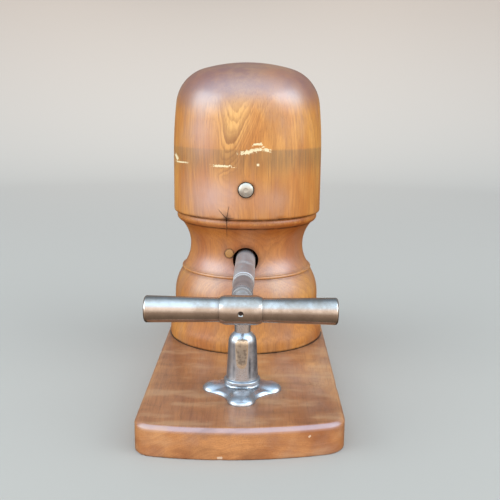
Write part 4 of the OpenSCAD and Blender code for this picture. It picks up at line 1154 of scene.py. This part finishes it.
def makeTubeAndRod():
    low, high = nodeBox("nut_tube")
    screwZ = nodeMiddle("nut_tube")[2]
    outer, bore, start, end = high[0], screw["tubeBore"], low[1], high[1]
    corners = [[bore, start], [outer, start], [outer, end], [bore, end]]
    line = closedLine(corners, [0.5, 0.9, 0.6, 0.3, 0.5], 2.5)
    tube = turned("nutTube", line, "y", (0, 0, screwZ), 96, wrapRows=True)
    carve(tube, [rod("pinHole", handle["pin"], -12, 12, "x", (0, nodeMiddle("nut_pins")[1], screwZ), 24)])
    x, y, z = places(tube)
    # Painted shade where the tube runs into the block's tunnel
    paint(tube, edge=0.9 * smoothStep(y, start + 2.2, start + 0.4), dirt=0.45 * smoothStep(y, -14, -4))
    dress(tube, metals["greySteel"], "carriage", "worn_steel", "nut_tube")
    # The rod's front end is hammered to a low dome with a shallow centre mark, a little out of round
    low, high = nodeBox("guide_rod")
    rodZ, radius, start, end = nodeMiddle("guide_rod")[2], high[0], low[1], high[1]
    rise = 2.4
    cap = (radius**2 + rise**2) / (2 * rise)
    part = np.linspace(0, radius - 0.4, 24)
    dome = np.column_stack([part, start + cap - np.sqrt(cap**2 - part**2)])
    dome[:, 1] += 0.4 * smoothStep(part, 3.0, 0.8)
    shank = easedLine([dome[-1], [radius, start + rise], [radius, end], [0, end]], 0.7)
    line = denseLine(np.vstack([dome, shank[1:]]), 2.5)

    def hammered(radius, way, turn):
        near = smoothStep(way, start + 4, start + 1)
        return radius * (1 - 0.008 * near * (1 + np.cos(6 * turn + 0.4)) - 0.006 * near * np.sin(11 * turn))

    shape = turned("guideRod", line, "y", (0, 0, rodZ), 72, reshape=hammered)
    x, y, z = places(shape)
    # Painted shade on the rod just behind its end, where it runs into the bush
    paint(shape, dirt=0.7 * window(y, start + 2.2, start + 3.2, start + 6, start + 12))
    dress(shape, metals["brightSteel"], "carriage", "bright_steel", "guide_rod")


makeHandle()
makeSpindle()
makeTubeAndRod()
print("handle, screw, tube and rod made")

# Solids that keep their own shape get the finish listed for them
kept = {
    "darkSteel": ["front_block_screws", "collar_pin", "strap_plate", "nut_pins", "slide_bolt"],
    "wornSteel": ["strap_screws", "key_screws", "slide_washer"],
    "dullBrass": ["guide_bush", "tube_nut"],
    "rustySteel": ["handle_pin"],
    "boardWood": ["slide_key"],
}
finishes = {**metals, "boardWood": boardWood}
for finish, names in kept.items():
    for name in names:
        cadNodes[name].data.materials.clear()
        cadNodes[name].data.materials.append(finishes[finish])
print("kept solids finished")

stage = {
    "floor": tone(160, 146, 132), "radius": 2600.0, "sweep": 900.0, "wall": 2600.0, "behind": 0.17,
    "ground": (0.2, 0.125, 0.075, 1.0), "horizon": (2.0, 1.68, 1.45, 1.0), "sky": (1.85, 2.5, 3.2, 1.0),
    "deep": (0.27, 0.185, 0.125, 1.0), "bench": (0.54, 0.37, 0.26, 1.0),
}
lights = [  # name, place, point it looks at, size, power, colour, seen in reflections
    ("leftBox", (-1150, -420, 610), (0, -20, 240), (1100, 850), 11.6, (0.64, 0.85, 1.0), True),
    ("rightBox", (1150, -430, 730), (0, -20, 240), (1100, 850), 11.6, (0.64, 0.85, 1.0), True),
    ("rearFill", (-200, 2300, 1300), (0, 60, 150), (1600, 900), 14, (1.0, 0.97, 0.94), False),
]


# Floor that sweeps up into a round wall: a line of floor, quarter arc and wall turned about the object
def makeStage():
    s = named(stage)
    corner = s.radius - s.sweep
    sweep = arcLine((corner, s.sweep), s.sweep, -90, 0, 24)
    floor = turned("studioFloor", np.vstack([[[0, 0], [corner * 0.5, 0]], sweep, [[s.radius, s.wall]]]), "z")
    floor.data.flip_normals()
    material, _, shader, _ = startMaterial("paleFloor")
    setShader(shader, Base_Color=s.floor, Roughness=0.75)
    floor.data.materials.append(material)
    smooth(floor)
    floor.visible_diffuse = floor.visible_glossy = floor.visible_shadow = False  # it throws no light back
    for name, place, aim, size, power, colour, mirrored in lights:
        data = bpy.data.lights.new(name, "AREA")
        data.shape, data.size, data.size_y = "RECTANGLE", size[0] * mm, size[1] * mm
        data.energy, data.color = power, colour
        lamp = bpy.data.objects.new(name, data)
        lamp.visible_camera, lamp.visible_glossy = False, mirrored
        back = np.array(place) - np.array(aim)
        back = back / np.linalg.norm(back)
        side = np.cross((0, 0, 1.0), back)
        side /= np.linalg.norm(side)
        standAt(lamp, side, np.cross(back, side), back, place)
    # Soft sky: brown below, warm at the horizon and bluish above, and dim behind the object
    world = bpy.data.worlds.new("studioAir")
    world.use_nodes = True
    wires, back = Wires(world.node_tree), world.node_tree.nodes["Background"]
    way = wires.split(wires.add("TexCoord").outputs["Generated"])
    air = wires.mix(wires.ramp(way[2], 0.0, 0.6), s.horizon, s.sky)
    light = wires.mix(wires.ramp(way[2], -0.75, 0.1), s.ground, air)
    low = wires.mix(wires.ramp(way[2], -0.95, -0.3), s.deep, s.bench)
    high = wires.mix(wires.ramp(way[2], 0.28, 0.8), s.horizon, s.sky)
    # What gloss shows: bench, horizon and sky
    mirrored = wires.mix(wires.ramp(way[2], -0.42, 0.36), low, high)
    glossy = wires.add("LightPath").outputs["Is Glossy Ray"]
    wires.link(wires.mix(glossy, light, mirrored), back.inputs["Color"])
    wires.link(wires.ramp(way[1], -0.45, 0.65, 1.0, s.behind), back.inputs["Strength"])
    scene.world = world
    scene.view_settings.view_transform = "Standard"


makeStage()
print("stage lit")
